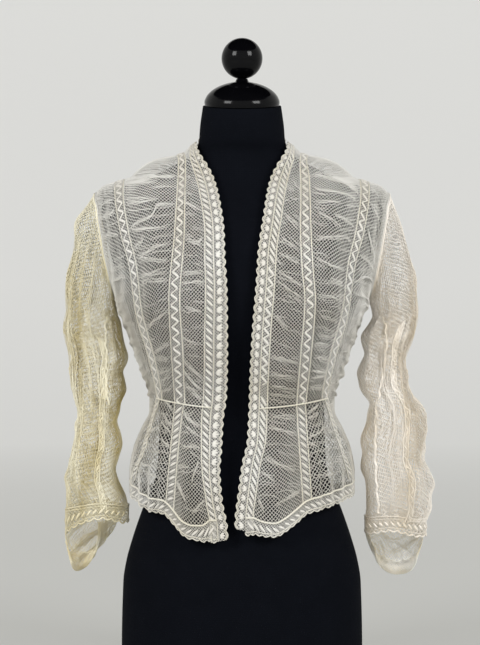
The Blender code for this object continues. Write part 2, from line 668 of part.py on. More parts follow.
def build_neck_edging(lace):
    """Scalloped edging that stands round the back of the neck, close to the form."""
    count = NECK_SCALLOPS * POINTS_PER_SCALLOP
    angle = np.linspace(NECK_EDGING_START, np.pi - NECK_EDGING_START, count + 1)
    lobe = np.abs(np.sin(np.pi * np.arange(count + 1) / POINTS_PER_SCALLOP))
    sign = np.where(angle < np.pi / 2, 1.0, -1.0)
    low = np.full(count + 1, NECK_TOP_Z + 4 * SEAM)
    base = worn_point(sign, np.minimum(angle, np.pi - angle), low, back=True)
    fold = low + NECK_EDGING_RISE
    edge = fold + NECK_EDGING_HEIGHT + SCALLOP_DEPTH * lobe
    rest = np.stack([form_section(z, angle) for z in (fold, edge)])
    away = outward_normals(rest, np.zeros(3))
    inner = np.concatenate([base[None], rest + away * NECK_EDGING_GAP])
    normal = outward_normals(inner, np.zeros(3))
    cloth_wall("back_neck_edging", inner, inner + normal * LACE_WALL, lace)


def armhole_loop(sign):
    """Armhole seam as a closed ring: up the front from the underarm, down the back."""
    z, turn = side_line()
    above = z >= UNDERARM_Z - 1e-6
    front = worn_point(sign, turn[above], z[above])
    back = worn_point(sign, turn[above], z[above], back=True)
    return np.concatenate([front, back[-2:0:-1]])


def sleeve_grid(side):
    """Outer face of a sleeve: rings fan out from the armhole, then hang level."""
    sign = SIDES[side]
    seam = armhole_loop(sign)
    seam[:, 0] += sign * ARM_GAP
    count = len(seam)
    rows = SLEEVES[side]
    turn = 2 * np.pi * np.arange(count) / count
    heights = np.linspace(rows[0].z, rows[-1].z, SLEEVE_RINGS)
    level = []
    for number, z in enumerate(heights):
        middle, half_width, half_depth, forward = (
            float(smooth(rows, "z", field, z)) for field in ("middle", "half_width", "half_depth", "forward"))
        lag = FOLD_SWING * np.sin(FOLD_SWING_RATE * number) + FOLD_DRIFT * number
        ripple = 1 + SLEEVE_FOLD_SHARE * np.cos(SLEEVE_FOLD_COUNT * turn + lag) * np.abs(np.sin(turn))
        x = sign * (middle - half_width * np.cos(turn))
        y = -forward - half_depth * np.sin(turn) * ripple
        level.append(np.stack([x, y, np.full(count, z)], axis=-1))
    level = np.stack(level)
    bend = seam + (level[0] - seam) * np.array(SLEEVE_BEND)
    cap = []
    for t in np.linspace(0, 1, SLEEVE_CAP_RINGS + 1)[:-1]:
        cap.append((1 - t) ** 2 * seam + 2 * t * (1 - t) * bend + t ** 2 * level[0])
    return np.concatenate([np.stack(cap), level])


def build_sleeve(side, net, lace):
    """One sleeve: the tube, the band down it, the cuff band and the longer drop behind."""
    sign = SIDES[side]
    grid = sleeve_grid(side)
    middle = grid.mean(axis=1, keepdims=True)
    normal = grid_normals(grid, wrap=True)
    normal *= np.sign(np.sum(normal * (grid - middle)))
    cloth_wall(f"sleeve_{side}", grid, grid - normal * NET_WALL, net, wrap=True)

    count = grid.shape[1]
    start = int(round(SLEEVE_BAND_TURN[side] * count))
    strip = grid[SLEEVE_CAP_RINGS + 1:, start:start + 2]
    lift = normal[SLEEVE_CAP_RINGS + 1:, start:start + 2]
    centre = strip.mean(axis=1, keepdims=True)
    reach = np.linalg.norm(strip[:, 1:] - strip[:, :1], axis=-1, keepdims=True)
    strip = centre + (strip - centre) * np.minimum(1.0, SLEEVE_BAND_WIDTH / reach)
    base = strip + lift * SEAM * 2
    cloth_wall(f"sleeve_band_{side}", base, base + lift * LACE_WALL, lace)

    last = grid[-1]
    turns = normal[-1] * np.array([1.0, 1.0, 0.0])
    turns /= np.linalg.norm(turns, axis=-1, keepdims=True)
    cuff = np.stack([last - np.array([0, 0, SEAM]),
                     last - np.array([0, 0, CUFF_BAND_DROP / 2]) + turns * CUFF_FLARE,
                     last - np.array([0, 0, CUFF_BAND_DROP]) + turns * CUFF_FLARE])
    inside = cuff - turns * LACE_WALL
    cloth_wall(f"cuff_band_{side}", cuff, inside, lace, wrap=True)

    drop = CUFF_DROPS[side]
    half = count // 2
    behind = np.arange(half, count + 1) % count
    top = cuff[-1][behind] - np.array([0, 0, SEAM])
    rows = np.linspace(0, 1, CUFF_DROP_ROWS + 1)[:, None]
    across = np.linspace(-1, 1, len(behind))[None, :]
    centre = top[:, 0].mean()
    lean = (sign * drop.tip_middle - centre) * rows
    x = centre + lean + (top[:, 0] - centre) * (1 - drop.narrowing * rows ** 2)
    y = top[:, 1] * (1 - CUFF_DROP_FLATTENING * rows)
    z = top[0, 2] + (drop.tip_z - top[0, 2]) * rows * (1 - CUFF_DROP_POINT * across ** 2)
    outer = np.stack([x, y, z], axis=-1)
    lining = grid_normals(outer)
    lining *= np.sign(np.sum(lining * np.array([0, 1.0, 0])))
    lining[0, :, 2] = 0
    cloth_wall(f"cuff_drop_{side}", outer, outer - lining * NET_WALL, net)


def build():
    """Clear the scene and make every piece."""
    for item in list(bpy.data.objects):
        bpy.data.objects.remove(item, do_unlink=True)
    net = material("cotton_net", (0.72, 0.68, 0.58), 0.85)
    lace = material("cotton_lace", (0.82, 0.78, 0.67), 0.8)
    cord = material("cotton_cord", (0.85, 0.81, 0.70), 0.75)
    build_form()
    for side in SIDES:
        build_front(side, net, lace, cord)
        build_sleeve(side, net, lace)
    build_back(net, lace)


build()
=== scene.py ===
"""Lace cardigan on a dress form: woven net, lace bands, cords, the form's finishes, stage and camera.

Lengths in the tables and patches are millimetres; meshes are written in metres.
+Z is up and the garment's open front faces -Y.
"""
from __future__ import annotations

import logging
import math
from dataclasses import dataclass, field
from enum import Enum
from typing import Callable, Sequence

import bpy
import numpy as np
from bpy.types import Material, Node, NodeSocket, NodeTree, Object
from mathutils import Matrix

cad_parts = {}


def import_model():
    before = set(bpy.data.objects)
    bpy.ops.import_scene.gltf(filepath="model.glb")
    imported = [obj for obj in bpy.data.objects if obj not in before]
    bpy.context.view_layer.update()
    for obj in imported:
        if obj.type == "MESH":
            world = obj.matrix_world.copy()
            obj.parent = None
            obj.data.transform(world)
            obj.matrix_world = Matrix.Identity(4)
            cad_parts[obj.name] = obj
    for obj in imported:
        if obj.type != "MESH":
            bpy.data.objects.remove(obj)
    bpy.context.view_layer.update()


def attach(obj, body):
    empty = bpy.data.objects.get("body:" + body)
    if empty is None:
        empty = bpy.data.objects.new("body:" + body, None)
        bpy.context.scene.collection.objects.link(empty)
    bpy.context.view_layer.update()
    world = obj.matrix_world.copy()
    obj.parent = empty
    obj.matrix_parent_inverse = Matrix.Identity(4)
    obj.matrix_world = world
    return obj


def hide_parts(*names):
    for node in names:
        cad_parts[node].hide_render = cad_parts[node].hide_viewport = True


LOG = logging.getLogger("lace_cardigan")
MM = 0.001
Array = np.ndarray
Curve = Callable[[Array], Array]


class Side(Enum):
    """The two sides of the garment as seen from the front."""

    LEFT = "left"
    RIGHT = "right"

    @property
    def sign(self) -> float:
        """Direction of this side along X."""
        return -1.0 if self is Side.LEFT else 1.0


class Table:
    """A short table of stations with named columns, read as smooth curves."""

    def __init__(self, columns: str, *rows: Sequence[float]) -> None:
        """Keep the rows sorted by the first column.

        Args:
            columns: Column names, the first one being the station.
            rows: One tuple of numbers for each station.
        """
        values = np.array(sorted(rows), float)
        self.columns = {name: values[:, place] for place, name in enumerate(columns.split())}
        self.key = columns.split()[0]

    def at(self, name: str, where: Array | float, key: str | None = None) -> Array:
        """Read a column with a monotone cubic: Hermite pieces with harmonic mean slopes.

        Args:
            name: Column to read.
            where: Stations to read it at, held inside the table.
            key: Column to use as the station instead of the first.

        Returns:
            The column's values there.
        """
        x, y = self.columns[key or self.key], self.columns[name]
        order = np.argsort(x)
        x, y = x[order], y[order]
        where = np.clip(np.asarray(where, float), x[0], x[-1])
        step = np.diff(x)
        slope = np.diff(y) / step
        tangent = np.zeros_like(y)
        same_way = slope[:-1] * slope[1:] > 0
        total = np.where(same_way, slope[:-1] + slope[1:], 1.0)
        tangent[1:-1] = np.where(same_way, 2 * slope[:-1] * slope[1:] / total, 0.0)
        tangent[0], tangent[-1] = slope[0], slope[-1]
        cell = np.clip(np.searchsorted(x, where, side="right") - 1, 0, len(x) - 2)
        t = (where - x[cell]) / step[cell]
        start = (1 + 2 * t) * (1 - t) ** 2 * y[cell] + t * (1 - t) ** 2 * step[cell] * tangent[cell]
        end = t ** 2 * (3 - 2 * t) * y[cell + 1] + t ** 2 * (t - 1) * step[cell] * tangent[cell + 1]
        return start + end

    def above(self, lowest: float) -> "Table":
        """Keep only the upper rows.

        Args:
            lowest: Lowest station to keep.

        Returns:
            The shorter table.
        """
        keep = self.columns[self.key] >= lowest
        part = Table.__new__(Table)
        part.columns = {name: values[keep] for name, values in self.columns.items()}
        part.key = self.key
        return part


# Sizes shared by the worn surface and the form
ROUNDNESS = 2.3
UNDERARM_Z = 487.0
SHOULDER_TIP_Z = 626.0
WAIST_FRONT_Z = 350.0
WAIST_SIDE_RISE = 14.0
WAIST_HALF_WIDTH = 118.0
NECK_TOP_Z = 684.0
NECK_HALF_WIDTH = 63.0
NECK_TILT = 0.18
NECK_TILT_START_Z = 676.0
FORM_TOP_Z = 740.0
WALL_MIDDLE = 0.6
SMALL = 1e-9
UP = np.array([0.0, 0.0, 1.0])
LEVEL_PART = np.array([1.0, 1.0, 0.0])

FORM = Table(
    "z half_width front back middle",
    (0, 154, 106, 114, 0), (39, 156, 108, 118, 0), (124, 154, 108, 121, 0), (150, 150, 107, 120, 0),
    (179, 142, 106, 116, 0), (214, 130, 103, 108, 0), (264, 111, 95, 92, 0), (300, 108, 87, 82, 0),
    (348, 107, 82, 77, 0), (375, 112, 88, 79, 0), (400, 122, 95, 83, 0), (430, 132, 106, 88, 0),
    (470, 145, 118, 96, 0), (505, 157, 122, 101, 0), (545, 170, 117, 103, 0), (580, 179, 105, 103, 0),
    (604, 183, 90, 99, 0), (618, 180, 79, 92, 0), (629, 168, 69, 83, 0), (638, 146, 61, 75, 0),
    (650, 114, 54, 65, 0), (664, 84, 49, 57, 0), (678, 62, 49, 53, -1), (692, 56, 53, 51, -4),
    (712, 54.5, 53.5, 51, -7), (740, 50.7, 50, 49, -12),
)
WORN = Table(
    "z half_width front back",
    (180, 157, 119, 126), (205, 149, 118, 122), (235, 143, 116, 117), (265, 145, 112, 110),
    (295, 140, 107, 102), (320, 130, 102, 95), (345, 119, 98, 90), (365, 119, 99, 90),
    (395, 129, 109, 94), (422, 139, 118, 99), (452, 150, 125, 104), (487, 163, 131, 108),
    (520, 176, 131, 110), (560, 188, 122, 111), (600, 194, 104, 109), (612, 193, 97, 106),
    (626, 188, 85, 99), (634, 180, 77, 92), (639, 166, 73, 87), (643, 152, 70, 83),
    (646, 143, 68, 80.5), (652, 137, 64.5, 75.5), (659, 129, 62, 70.5), (665, 120, 60.5, 66),
    (670, 107, 59.5, 62.5), (674, 86, 59.5, 59.5), (679, 71, 60.5, 58), (684, 63, 62, 57),
)
RIDGE = WORN.above(SHOULDER_TIP_Z)
ARMHOLE = Table("z share", (487, 1.0), (500, 0.985), (530, 0.955), (570, 0.938), (600, 0.945), (626, 1.0))
FRONT_EDGE = {
    Side.LEFT: Table(
        "z edge edging rope",
        (186, 17, 12, 9.5), (205, 18, 12, 9.5), (236, 24, 12, 9), (274, 27, 13, 10), (300, 25, 15, 11),
        (336, 23, 16, 12), (365, 19, 17, 12.5), (420, 17.5, 17, 12.5), (491, 18, 15.5, 12),
        (546, 21, 14, 11.5), (573, 22, 13.5, 11), (611, 27.5, 13, 11), (640, 35, 12.5, 10.5),
        (664, 47, 10, 8), (684, 63, 5.5, 4.5),
    ),
    Side.RIGHT: Table(
        "z edge edging rope",
        (186, -7, 13, 10), (209, -9, 13, 10), (247, -5, 12.5, 10.5), (283, 0, 12.5, 11), (309, 6, 12.5, 11),
        (344, 8, 12.5, 11), (393, 9.5, 12.5, 11), (450, 12.5, 12.5, 11), (507, 17, 12.5, 11),
        (547, 19.5, 12.5, 11), (584, 25, 12.5, 11), (635, 34, 12.5, 10.5), (664, 47, 10, 8),
        (684, 63, 5.5, 4.5),
    ),
}
ZIGZAG_INNER = {
    Side.LEFT: Table("z inner outer", (345, 71, 84), (422, 73, 88.5), (486, 76.5, 91), (573, 71, 84),
                     (664, 71, 81), (684, 77, 87)),
    Side.RIGHT: Table("z inner outer", (345, 67, 79), (420, 72.5, 86.5), (486, 77, 91), (527, 73.5, 88),
                      (575, 72, 86), (641, 73.5, 85.5), (664, 73, 82.5), (684, 77, 87)),
}
ZIGZAG_OUTER = Table(
    "z inner outer",
    (345, 99, 106), (371, 101.5, 109), (418, 110.5, 119), (464, 123, 132.5), (476, 125.5, 134.5),
    (527, 131, 141), (576, 142.5, 154), (626, 150, 162), (650, 150.5, 163),
)
PEPLUM_BAND = {
    Side.LEFT: Table("z inner outer", (205, 86, 97), (236, 84, 95), (330, 76, 87), (365, 71, 84)),
    Side.RIGHT: Table("z inner outer", (205, 77, 89), (236, 75, 87), (330, 69, 81), (365, 67, 79)),
}
HEM_FRONT = {
    Side.LEFT: Table("offset z", (36, 217), (51, 206), (62, 206), (73, 210), (84, 222), (91, 230), (100, 236),
                     (112, 237), (122, 241), (134, 249), (146, 256)),
    Side.RIGHT: Table("offset z", (12, 217), (30, 210), (41, 209), (52, 214), (68, 226), (81, 236), (99, 241),
                      (118, 247), (134, 252), (146, 256)),
}
HEM_EDGING = {
    Side.LEFT: Table("offset z", (10, 190), (40, 184)),
    Side.RIGHT: Table("offset z", (-12, 203), (16, 196)),
}
HEM_BACK = Table("offset z", (0, 236), (80, 240), (146, 256))
PEPLUM_SIDE_BAND = Table("z offset", (240, 141), (267, 135), (290, 127), (320, 118), (350, 109), (366, 105))
SLEEVES = {
    Side.LEFT: Table(
        "z middle half_width half_depth forward",
        (466, 197, 34, 27, 6), (441, 192, 37, 28, 9), (415, 187, 35, 27, 11), (376, 187, 34, 26, 13),
        (348, 186, 28, 25, 15), (311, 188, 30, 25, 17), (260, 194, 33, 26, 18), (232, 188, 38, 27, 18),
        (216, 187, 40, 27, 18),
    ),
    Side.RIGHT: Table(
        "z middle half_width half_depth forward",
        (466, 199, 29, 27, 6), (441, 191, 31, 28, 9), (411, 185, 29, 27, 11), (378, 184, 31, 26, 13),
        (350, 196, 34, 26, 15), (320, 199, 38, 26, 17), (288, 196, 42, 26, 19), (255, 202, 42, 26, 20),
        (222, 203, 42, 27, 20), (200, 198, 39, 27, 20),
    ),
}


def waist_height(offset: Array | float) -> Array:
    """Height of the waist seam: it rises with the square of the distance from the centre."""
    return WAIST_FRONT_Z + WAIST_SIDE_RISE * (np.asarray(offset) / WAIST_HALF_WIDTH) ** 2


def side_limit(z: Array) -> Array:
    """Distance of the side seam, or of the armhole seam above the underarm, from the centre line.

    Args:
        z: Heights.

    Returns:
        Distances: the worn half width times the armhole's share.
    """
    z = np.asarray(z, float)
    share = np.where(z < UNDERARM_Z, 1.0, ARMHOLE.at("share", z))
    tip = WORN.at("half_width", SHOULDER_TIP_Z)
    return np.where(z < SHOULDER_TIP_Z, WORN.at("half_width", z) * share, tip)


def turn_of(offset: Array, z: Array) -> Array:
    """Angle round the section, 0 at the side and a quarter turn at the centre."""
    share = np.clip(offset / WORN.at("half_width", z), -1, 1)
    return np.arccos(np.sign(share) * np.abs(share) ** (ROUNDNESS / 2))


def worn_point(sign: Array | float, turn: Array, z: Array, back: bool = False) -> Array:
    """Point of the worn surface: a superellipse at each height, deeper in front or behind.

    Args:
        sign: Which side of the centre line.
        turn: Angle round the section.
        z: Height.
        back: Whether the point lies behind the side seam.

    Returns:
        Points with a last axis of three.
    """
    depth = WORN.at("back" if back else "front", z) + WALL_MIDDLE
    cosine, sine = np.cos(turn), np.sin(turn)
    width = WORN.at("half_width", z) + WALL_MIDDLE
    x = sign * width * np.sign(cosine) * np.abs(cosine) ** (2 / ROUNDNESS)
    y = (1 if back else -1) * depth * np.abs(sine) ** (2 / ROUNDNESS)
    return points_of(x, y, z)


def form_point(turn: Array, z: Array) -> Array:
    """Point of the dress form: a superellipse whose neck leans forward.

    Args:
        turn: Full angle round the form, from the +X side.
        z: Height before the neck's tilt.

    Returns:
        Points with a last axis of three.
    """
    cosine, sine = np.cos(turn), np.sin(turn)
    depth = np.where(sine < 0, FORM.at("front", z), FORM.at("back", z))
    x = FORM.at("half_width", z) * np.sign(cosine) * np.abs(cosine) ** (2 / ROUNDNESS)
    y = FORM.at("middle", z) + depth * np.sign(sine) * np.abs(sine) ** (2 / ROUNDNESS)
    lean = NECK_TILT * np.clip((z - NECK_TILT_START_Z) / (FORM_TOP_Z - NECK_TILT_START_Z), 0, 1)
    return points_of(x, y, z + lean * y)


def unit(vectors: Array) -> Array:
    """Vectors scaled to length one."""
    return vectors / np.maximum(np.linalg.norm(vectors, axis=-1, keepdims=True), SMALL)


def spaced(count: int) -> Array:
    """Shares from 0 to 1, evenly spaced."""
    return np.linspace(0, 1, count)


def points_of(x: Array, y: Array, z: Array) -> Array:
    """Points from three coordinates that are spread over one another."""
    return np.stack(np.broadcast_arrays(x, y, z), axis=-1)


def axis_of(grid: Array) -> Array:
    """Points of the upright axis beside a grid, which the worn cloth looks away from."""
    return grid * UP


def tube_sides(index: Array) -> Array:
    """Quads between neighbouring rings, from corner numbers with the places round in the last axis."""
    after = np.roll(index, -1, axis=-1)
    corners = [index[..., :-1, :], after[..., :-1, :], after[..., 1:, :], index[..., 1:, :]]
    return np.stack(corners, axis=-1).reshape(-1, 4)


def evened(grid: Array) -> Array:
    """Resample each column of a grid at equal steps of its own length.

    Args:
        grid: Points, rows by columns by three.

    Returns:
        A grid of the same size whose columns have even steps.
    """
    rows, columns = grid.shape[:2]
    steps = np.linalg.norm(np.diff(grid, axis=0), axis=-1) + SMALL
    along = np.concatenate([np.zeros((1, columns)), np.cumsum(steps, axis=0)])
    along /= along[-1]
    shelf = 2.0 * np.arange(columns)
    place = np.tile(np.arange(rows), columns)
    wanted = (spaced(rows)[:, None] + shelf).T.ravel()
    index = np.interp(wanted, (along + shelf).T.ravel(), place).reshape(columns, rows).T
    low = np.clip(index.astype(int), 0, rows - 2)
    share = (index - low)[..., None]
    column = np.arange(columns)[None, :]
    return grid[low, column] * (1 - share) + grid[low + 1, column] * share


class Patch:
    """A piece of cloth as an evenly spaced grid, read by shares across and along."""

    def __init__(self, grid: Array, away_from: Array, even: bool = True) -> None:
        """Even out the grid and work out its normals and lengths.

        Args:
            grid: Points in millimetres, rows along by columns across.
            away_from: Points that the outer face looks away from.
            even: Whether steps are made equal along and across.
        """
        if even:
            grid = evened(grid)
            grid = evened(grid.swapaxes(0, 1)).swapaxes(0, 1)
        self.grid = grid
        normal = unit(np.cross(np.gradient(grid, axis=1), np.gradient(grid, axis=0)))
        self.normal = normal * np.sign(np.sum(normal * (grid - away_from)))
        across = np.linalg.norm(np.diff(grid, axis=1), axis=-1).sum(axis=1)
        along = np.linalg.norm(np.diff(grid, axis=0), axis=-1).sum(axis=0)
        self.widths = across
        self.length = float(along.mean())
        self.area = float(across.mean() * along.mean())

    def width(self, t: Array) -> Array:
        """Width in millimetres at a share of the length."""
        return np.interp(t, spaced(len(self.widths)), self.widths)

    def place(self, s: Array, t: Array) -> tuple[Array, Array]:
        """Points and normals at shares across and along, bilinear between grid points.

        Args:
            s: Shares across, 0 to 1.
            t: Shares along, 0 to 1.

        Returns:
            Points and unit normals.
        """
        rows, columns = self.grid.shape[:2]
        r = np.clip(t, 0, 1) * (rows - 1)
        c = np.clip(s, 0, 1) * (columns - 1)
        low_r = np.clip(r.astype(int), 0, rows - 2)
        low_c = np.clip(c.astype(int), 0, columns - 2)
        fr, fc = (r - low_r)[..., None], (c - low_c)[..., None]

        def blend(field_grid: Array) -> Array:
            """Bilinear mean of the four corners."""
            lower = field_grid[low_r, low_c] * (1 - fc) + field_grid[low_r, low_c + 1] * fc
            upper = field_grid[low_r + 1, low_c] * (1 - fc) + field_grid[low_r + 1, low_c + 1] * fc
            return lower * (1 - fr) + upper * fr

        return blend(self.grid), unit(blend(self.normal))


@dataclass
class Shape:
    """A mesh being gathered from arrays: points, polygons, finish numbers and flat places."""

    points: list[Array] = field(default_factory=list)
    loops: list[Array] = field(default_factory=list)
    sizes: list[Array] = field(default_factory=list)
    finishes: list[Array] = field(default_factory=list)
    flats: list[Array] = field(default_factory=list)
    count: int = 0

    def add(self, points: Array, polygons: Sequence[Array], finish: int, flat: Array) -> None:
        """Add points and polygons.

        Args:
            points: Points in millimetres.
            polygons: Arrays of corner numbers, one array for each corner count.
            finish: Material slot number.
            flat: Flat place of each point, two shares.
        """
        points = points.reshape(-1, 3)
        for corners in polygons:
            if len(corners):
                self.loops.append((corners + self.count).ravel())
                self.sizes.append(np.full(len(corners), corners.shape[1]))
                self.finishes.append(np.full(len(corners), finish))
        self.points.append(points)
        self.flats.append(np.broadcast_to(flat, (*flat.shape[:-1], 2)).reshape(-1, 2))
        self.count += len(points)

    def to_object(self, name: str, finishes: Sequence[Material]) -> Object:
        """Make the mesh object.

        Args:
            name: Name of the piece.
            finishes: Materials in slot order.

        Returns:
            The linked object, at the origin.
        """
        mesh = bpy.data.meshes.new(name)
        points = np.concatenate(self.points) * MM
        loops = np.concatenate(self.loops).astype(np.int32)
        sizes = np.concatenate(self.sizes)
        starts = np.concatenate([[0], np.cumsum(sizes)[:-1]]).astype(np.int32)
        mesh.vertices.add(len(points))
        mesh.vertices.foreach_set("co", points.astype(np.float32).ravel())
        mesh.loops.add(len(loops))
        mesh.loops.foreach_set("vertex_index", loops)
        mesh.polygons.add(len(sizes))
        mesh.polygons.foreach_set("loop_start", starts)
        mesh.polygons.foreach_set("material_index", np.concatenate(self.finishes).astype(np.int32))
        mesh.polygons.foreach_set("use_smooth", np.ones(len(sizes), bool))
        flat_map = mesh.uv_layers.new(name="OFBake")
        flats = np.clip(np.concatenate(self.flats), 0, 1) * 0.96 + 0.02
        flat_map.data.foreach_set("uv", flats[loops].astype(np.float32).ravel())
        mesh.update(calc_edges=True)
        mesh.validate()
        for finish in finishes:
            mesh.materials.append(finish)
        piece = bpy.data.objects.new(name, mesh)
        bpy.context.scene.collection.objects.link(piece)
        LOG.info("%s: %d points", name, self.count)
        return piece


def ringed(rings: Array, solid: bool) -> Shape:
    """Surface through rings: a solid with flat ends, or a dish whose first ring is filled.

    Args:
        rings: Points in millimetres, rings by places round.
        solid: Whether it is closed at both ends.

    Returns:
        The shape.
    """
    count, around = rings.shape[:2]
    index = np.arange(count * around).reshape(count, around)
    ends = [index[:1, ::-1], index[-1:]] if solid else [index[:1]]
    flat = np.stack(np.meshgrid(spaced(around), spaced(count)), axis=-1)
    shape = Shape()
    shape.add(rings, [tube_sides(index), *ends], 0, flat)
    return shape


@dataclass(frozen=True)
class NetWeave:
    """Diamond net: two families of slanting threads that meet at every knot.

    Knots stand on a lattice of half diagonals h = pitch / sqrt(2), every other place filled.
    Each thread is a three-sided prism that follows the cloth from knot to knot.
    """

    pitch: float = 3.3
    thread: float = 0.88
    wander: float = 0.16
    over: float = 0.12

    def weave(self, shape: Shape, finish: int, patch: Patch, seed: int,
              low_edge: Curve | None = None) -> None:
        """Weave a patch.

        Args:
            shape: Mesh that takes the threads.
            finish: Material slot number.
            patch: Cloth to cover.
            seed: Seed of the knots' small wanderings.
            low_edge: Lowest share across that the net reaches, as a curve of the share along.
        """
        half = self.pitch / math.sqrt(2)
        rows = max(2, int(patch.length / half))
        columns = int(patch.widths.max() / half / 2) + 1
        i, j = np.meshgrid(np.arange(-columns, columns + 1), np.arange(rows + 1), indexing="ij")
        t = j / rows
        width = np.maximum(patch.width(t), SMALL)
        s = 0.5 + i * half / width
        lowest = np.zeros_like(s) if low_edge is None else low_edge(t)
        room = half / width
        inside = ((i + j) % 2 == 0) & (s > lowest - room) & (s < 1 + room)
        at_edge = (s < lowest) | (s > 1)
        chance = np.random.default_rng(seed)
        drift = chance.normal(0, self.wander, (2, *s.shape))
        s = np.clip(s + drift[0] / width, lowest, 1)
        points, normals = patch.place(s, t + drift[1] / patch.length * ((j > 0) & (j < rows)))
        flat = np.stack([s, t], axis=-1)
        for way in (1, -1):
            self._family(shape, finish, way, points, normals, flat, inside, at_edge)

    def _family(self, shape: Shape, finish: int, way: int, points: Array, normals: Array, flat: Array,
                inside: Array, at_edge: Array) -> None:
        """Threads that rise one way across the lattice.

        Args:
            shape: Mesh that takes the threads.
            finish: Material slot number.
            way: 1 for threads rising with the columns, -1 for the others.
            points: Knots.
            normals: Cloth normals at the knots.
            flat: Flat places of the knots.
            inside: Which lattice places hold a knot.
            at_edge: Which knots were moved on to the patch's edge.
        """
        def ahead(values: Array) -> Array:
            """Values of the next knot along each thread."""
            return np.roll(values, (-way, -1), axis=(0, 1))

        runs = inside & ahead(inside) & ~(at_edge & ahead(at_edge))
        runs[:, -1] = False
        runs[-1 if way > 0 else 0, :] = False
        arrives = np.roll(runs, (way, 1), axis=(0, 1))
        used = runs | arrives
        ahead_step = ahead(points) - points
        behind_step = np.roll(ahead_step, (way, 1), axis=(0, 1))
        along = unit(np.where(runs[..., None], ahead_step, 0) + np.where(arrives[..., None], behind_step, 0))
        number = np.full(inside.shape, -1)
        number[used] = np.arange(used.sum())
        along, up = along[used], normals[used]
        side = unit(np.cross(up, along))
        up = np.cross(along, side)
        angle = np.pi / 2 + 2 * np.pi * np.arange(3) / 3
        radius = self.thread / math.sqrt(3)
        ring = radius * (side[:, None] * np.cos(angle)[:, None] + up[:, None] * np.sin(angle)[:, None])
        centre = points[used] + up * self.over * way
        first = 3 * number[runs]
        second = 3 * ahead(number)[runs]
        sides = [np.stack([first + k, first + (k + 1) % 3, second + (k + 1) % 3, second + k], axis=-1)
                 for k in range(3)]
        starts = 3 * number[runs & ~arrives]
        ends = 3 * number[arrives & ~runs]
        caps = [np.stack([starts + 2, starts + 1, starts], axis=-1),
                np.stack([ends, ends + 1, ends + 2], axis=-1)]
        shape.add(centre[:, None] + ring, [np.concatenate(sides), np.concatenate(caps)], finish,
                  np.repeat(flat[used], 3, axis=0))


@dataclass(frozen=True)
class Cord:
    """Cords, strokes and buds laid on cloth, as tubes with an oval section.

    A twisted cord has radius 1 + depth * cos(strands * angle - 2 pi * length / lay) times its size.
    """

    half_width: float
    half_height: float
    sides: int = 6
    twist_depth: float = 0.0
    twist_lay: float = 5.0
    strands: int = 2

    def lay(self, shape: Shape, finish: int, patch: Patch, s: Array, t: Array, lift: float = 0.0,
            profile: Array | float = 1.0) -> None:
        """Lay several cords on a patch.

        Args:
            shape: Mesh that takes the cords.
            finish: Material slot number.
            patch: Cloth they lie on.
            s: Shares across, cords by points.
            t: Shares along, cords by points.
            lift: Height of the cords' middle above the cloth.
            profile: Scale of the section at each point.
        """
        s, t = np.broadcast_arrays(np.atleast_2d(s), np.atleast_2d(t))
        points, normals = patch.place(s, t)
        self.sweep(shape, finish, points + normals * lift, normals, np.stack([s, t], axis=-1), profile)

    def sweep(self, shape: Shape, finish: int, points: Array, normals: Array, flat: Array,
              profile: Array | float = 1.0) -> None:
        """Sweep the section along paths.

        Args:
            shape: Mesh that takes the cords.
            finish: Material slot number.
            points: Paths, cords by points by three.
            normals: Directions off the cloth at the points.
            flat: Flat places at the points.
            profile: Scale of the section at each point.
        """
        count, steps = points.shape[:2]
        along = unit(np.gradient(points, axis=1))
        side = unit(np.cross(normals, along))
        up = np.cross(along, side)
        angle = 2 * np.pi * np.arange(self.sides) / self.sides
        length = np.cumsum(np.linalg.norm(np.gradient(points, axis=1), axis=-1), axis=1)
        turn = self.strands * angle - 2 * np.pi * length[..., None] / self.twist_lay
        scale = np.broadcast_to(np.asarray(profile, float), (count, steps))[..., None]
        scale = scale * (1 + self.twist_depth * np.cos(turn))
        ring = (side[:, :, None] * (scale * self.half_width * np.cos(angle))[..., None]
                + up[:, :, None] * (scale * self.half_height * np.sin(angle))[..., None])
        index = np.arange(count * steps * self.sides).reshape(count, steps, self.sides)
        shape.add(points[:, :, None] + ring, [tube_sides(index), index[:, 0, ::-1], index[:, -1]], finish,
                  np.repeat(flat.reshape(-1, 2), self.sides, axis=0))


class Crease:
    """A pinched fold of the cloth, drawn through a few given points.

    Its height is height * sqrt(sin(pi * share)) * exp(-(off / spread) ** 2), where the share runs along the
    line and off is the distance from it.
    """

    def __init__(self, height: float, *path: tuple[float, float], spread: float = 2.2,
                 strands: int = 6) -> None:
        """Keep the crease.

        Args:
            height: How far it stands out, millimetres.
            path: Points as a share across the panel and a level along it.
            spread: Half its breadth, in units of the level.
            strands: How many threads are drawn together along it.
        """
        self.height = height
        self.strands = strands
        self.path = Table("s level", *path)
        self.start, self.end = (float(self.path.columns["s"][place]) for place in (0, -1))
        self.spread = spread

    def centre(self, s: Array) -> Array:
        """Level of the crease at shares across the panel."""
        return self.path.at("level", s)

    def rise(self, s: Array, off: Array) -> Array:
        """Height at shares across and at distances from the crease's line."""
        share = np.clip((s - self.start) / (self.end - self.start), 0, 1)
        return self.height * np.sqrt(np.sin(np.pi * share)) * np.exp(-(off / self.spread) ** 2)


WRINKLES = ((31, 9, 0.3), (17, 27, 1.7), (23, -21, 2.9), (43, 5, 0.9))
STRAND = Cord(0.36, 0.36, sides=3)
STRAND_POINTS = 18
STRAND_TRIM = 0.12
STRAND_LIFT = 0.25


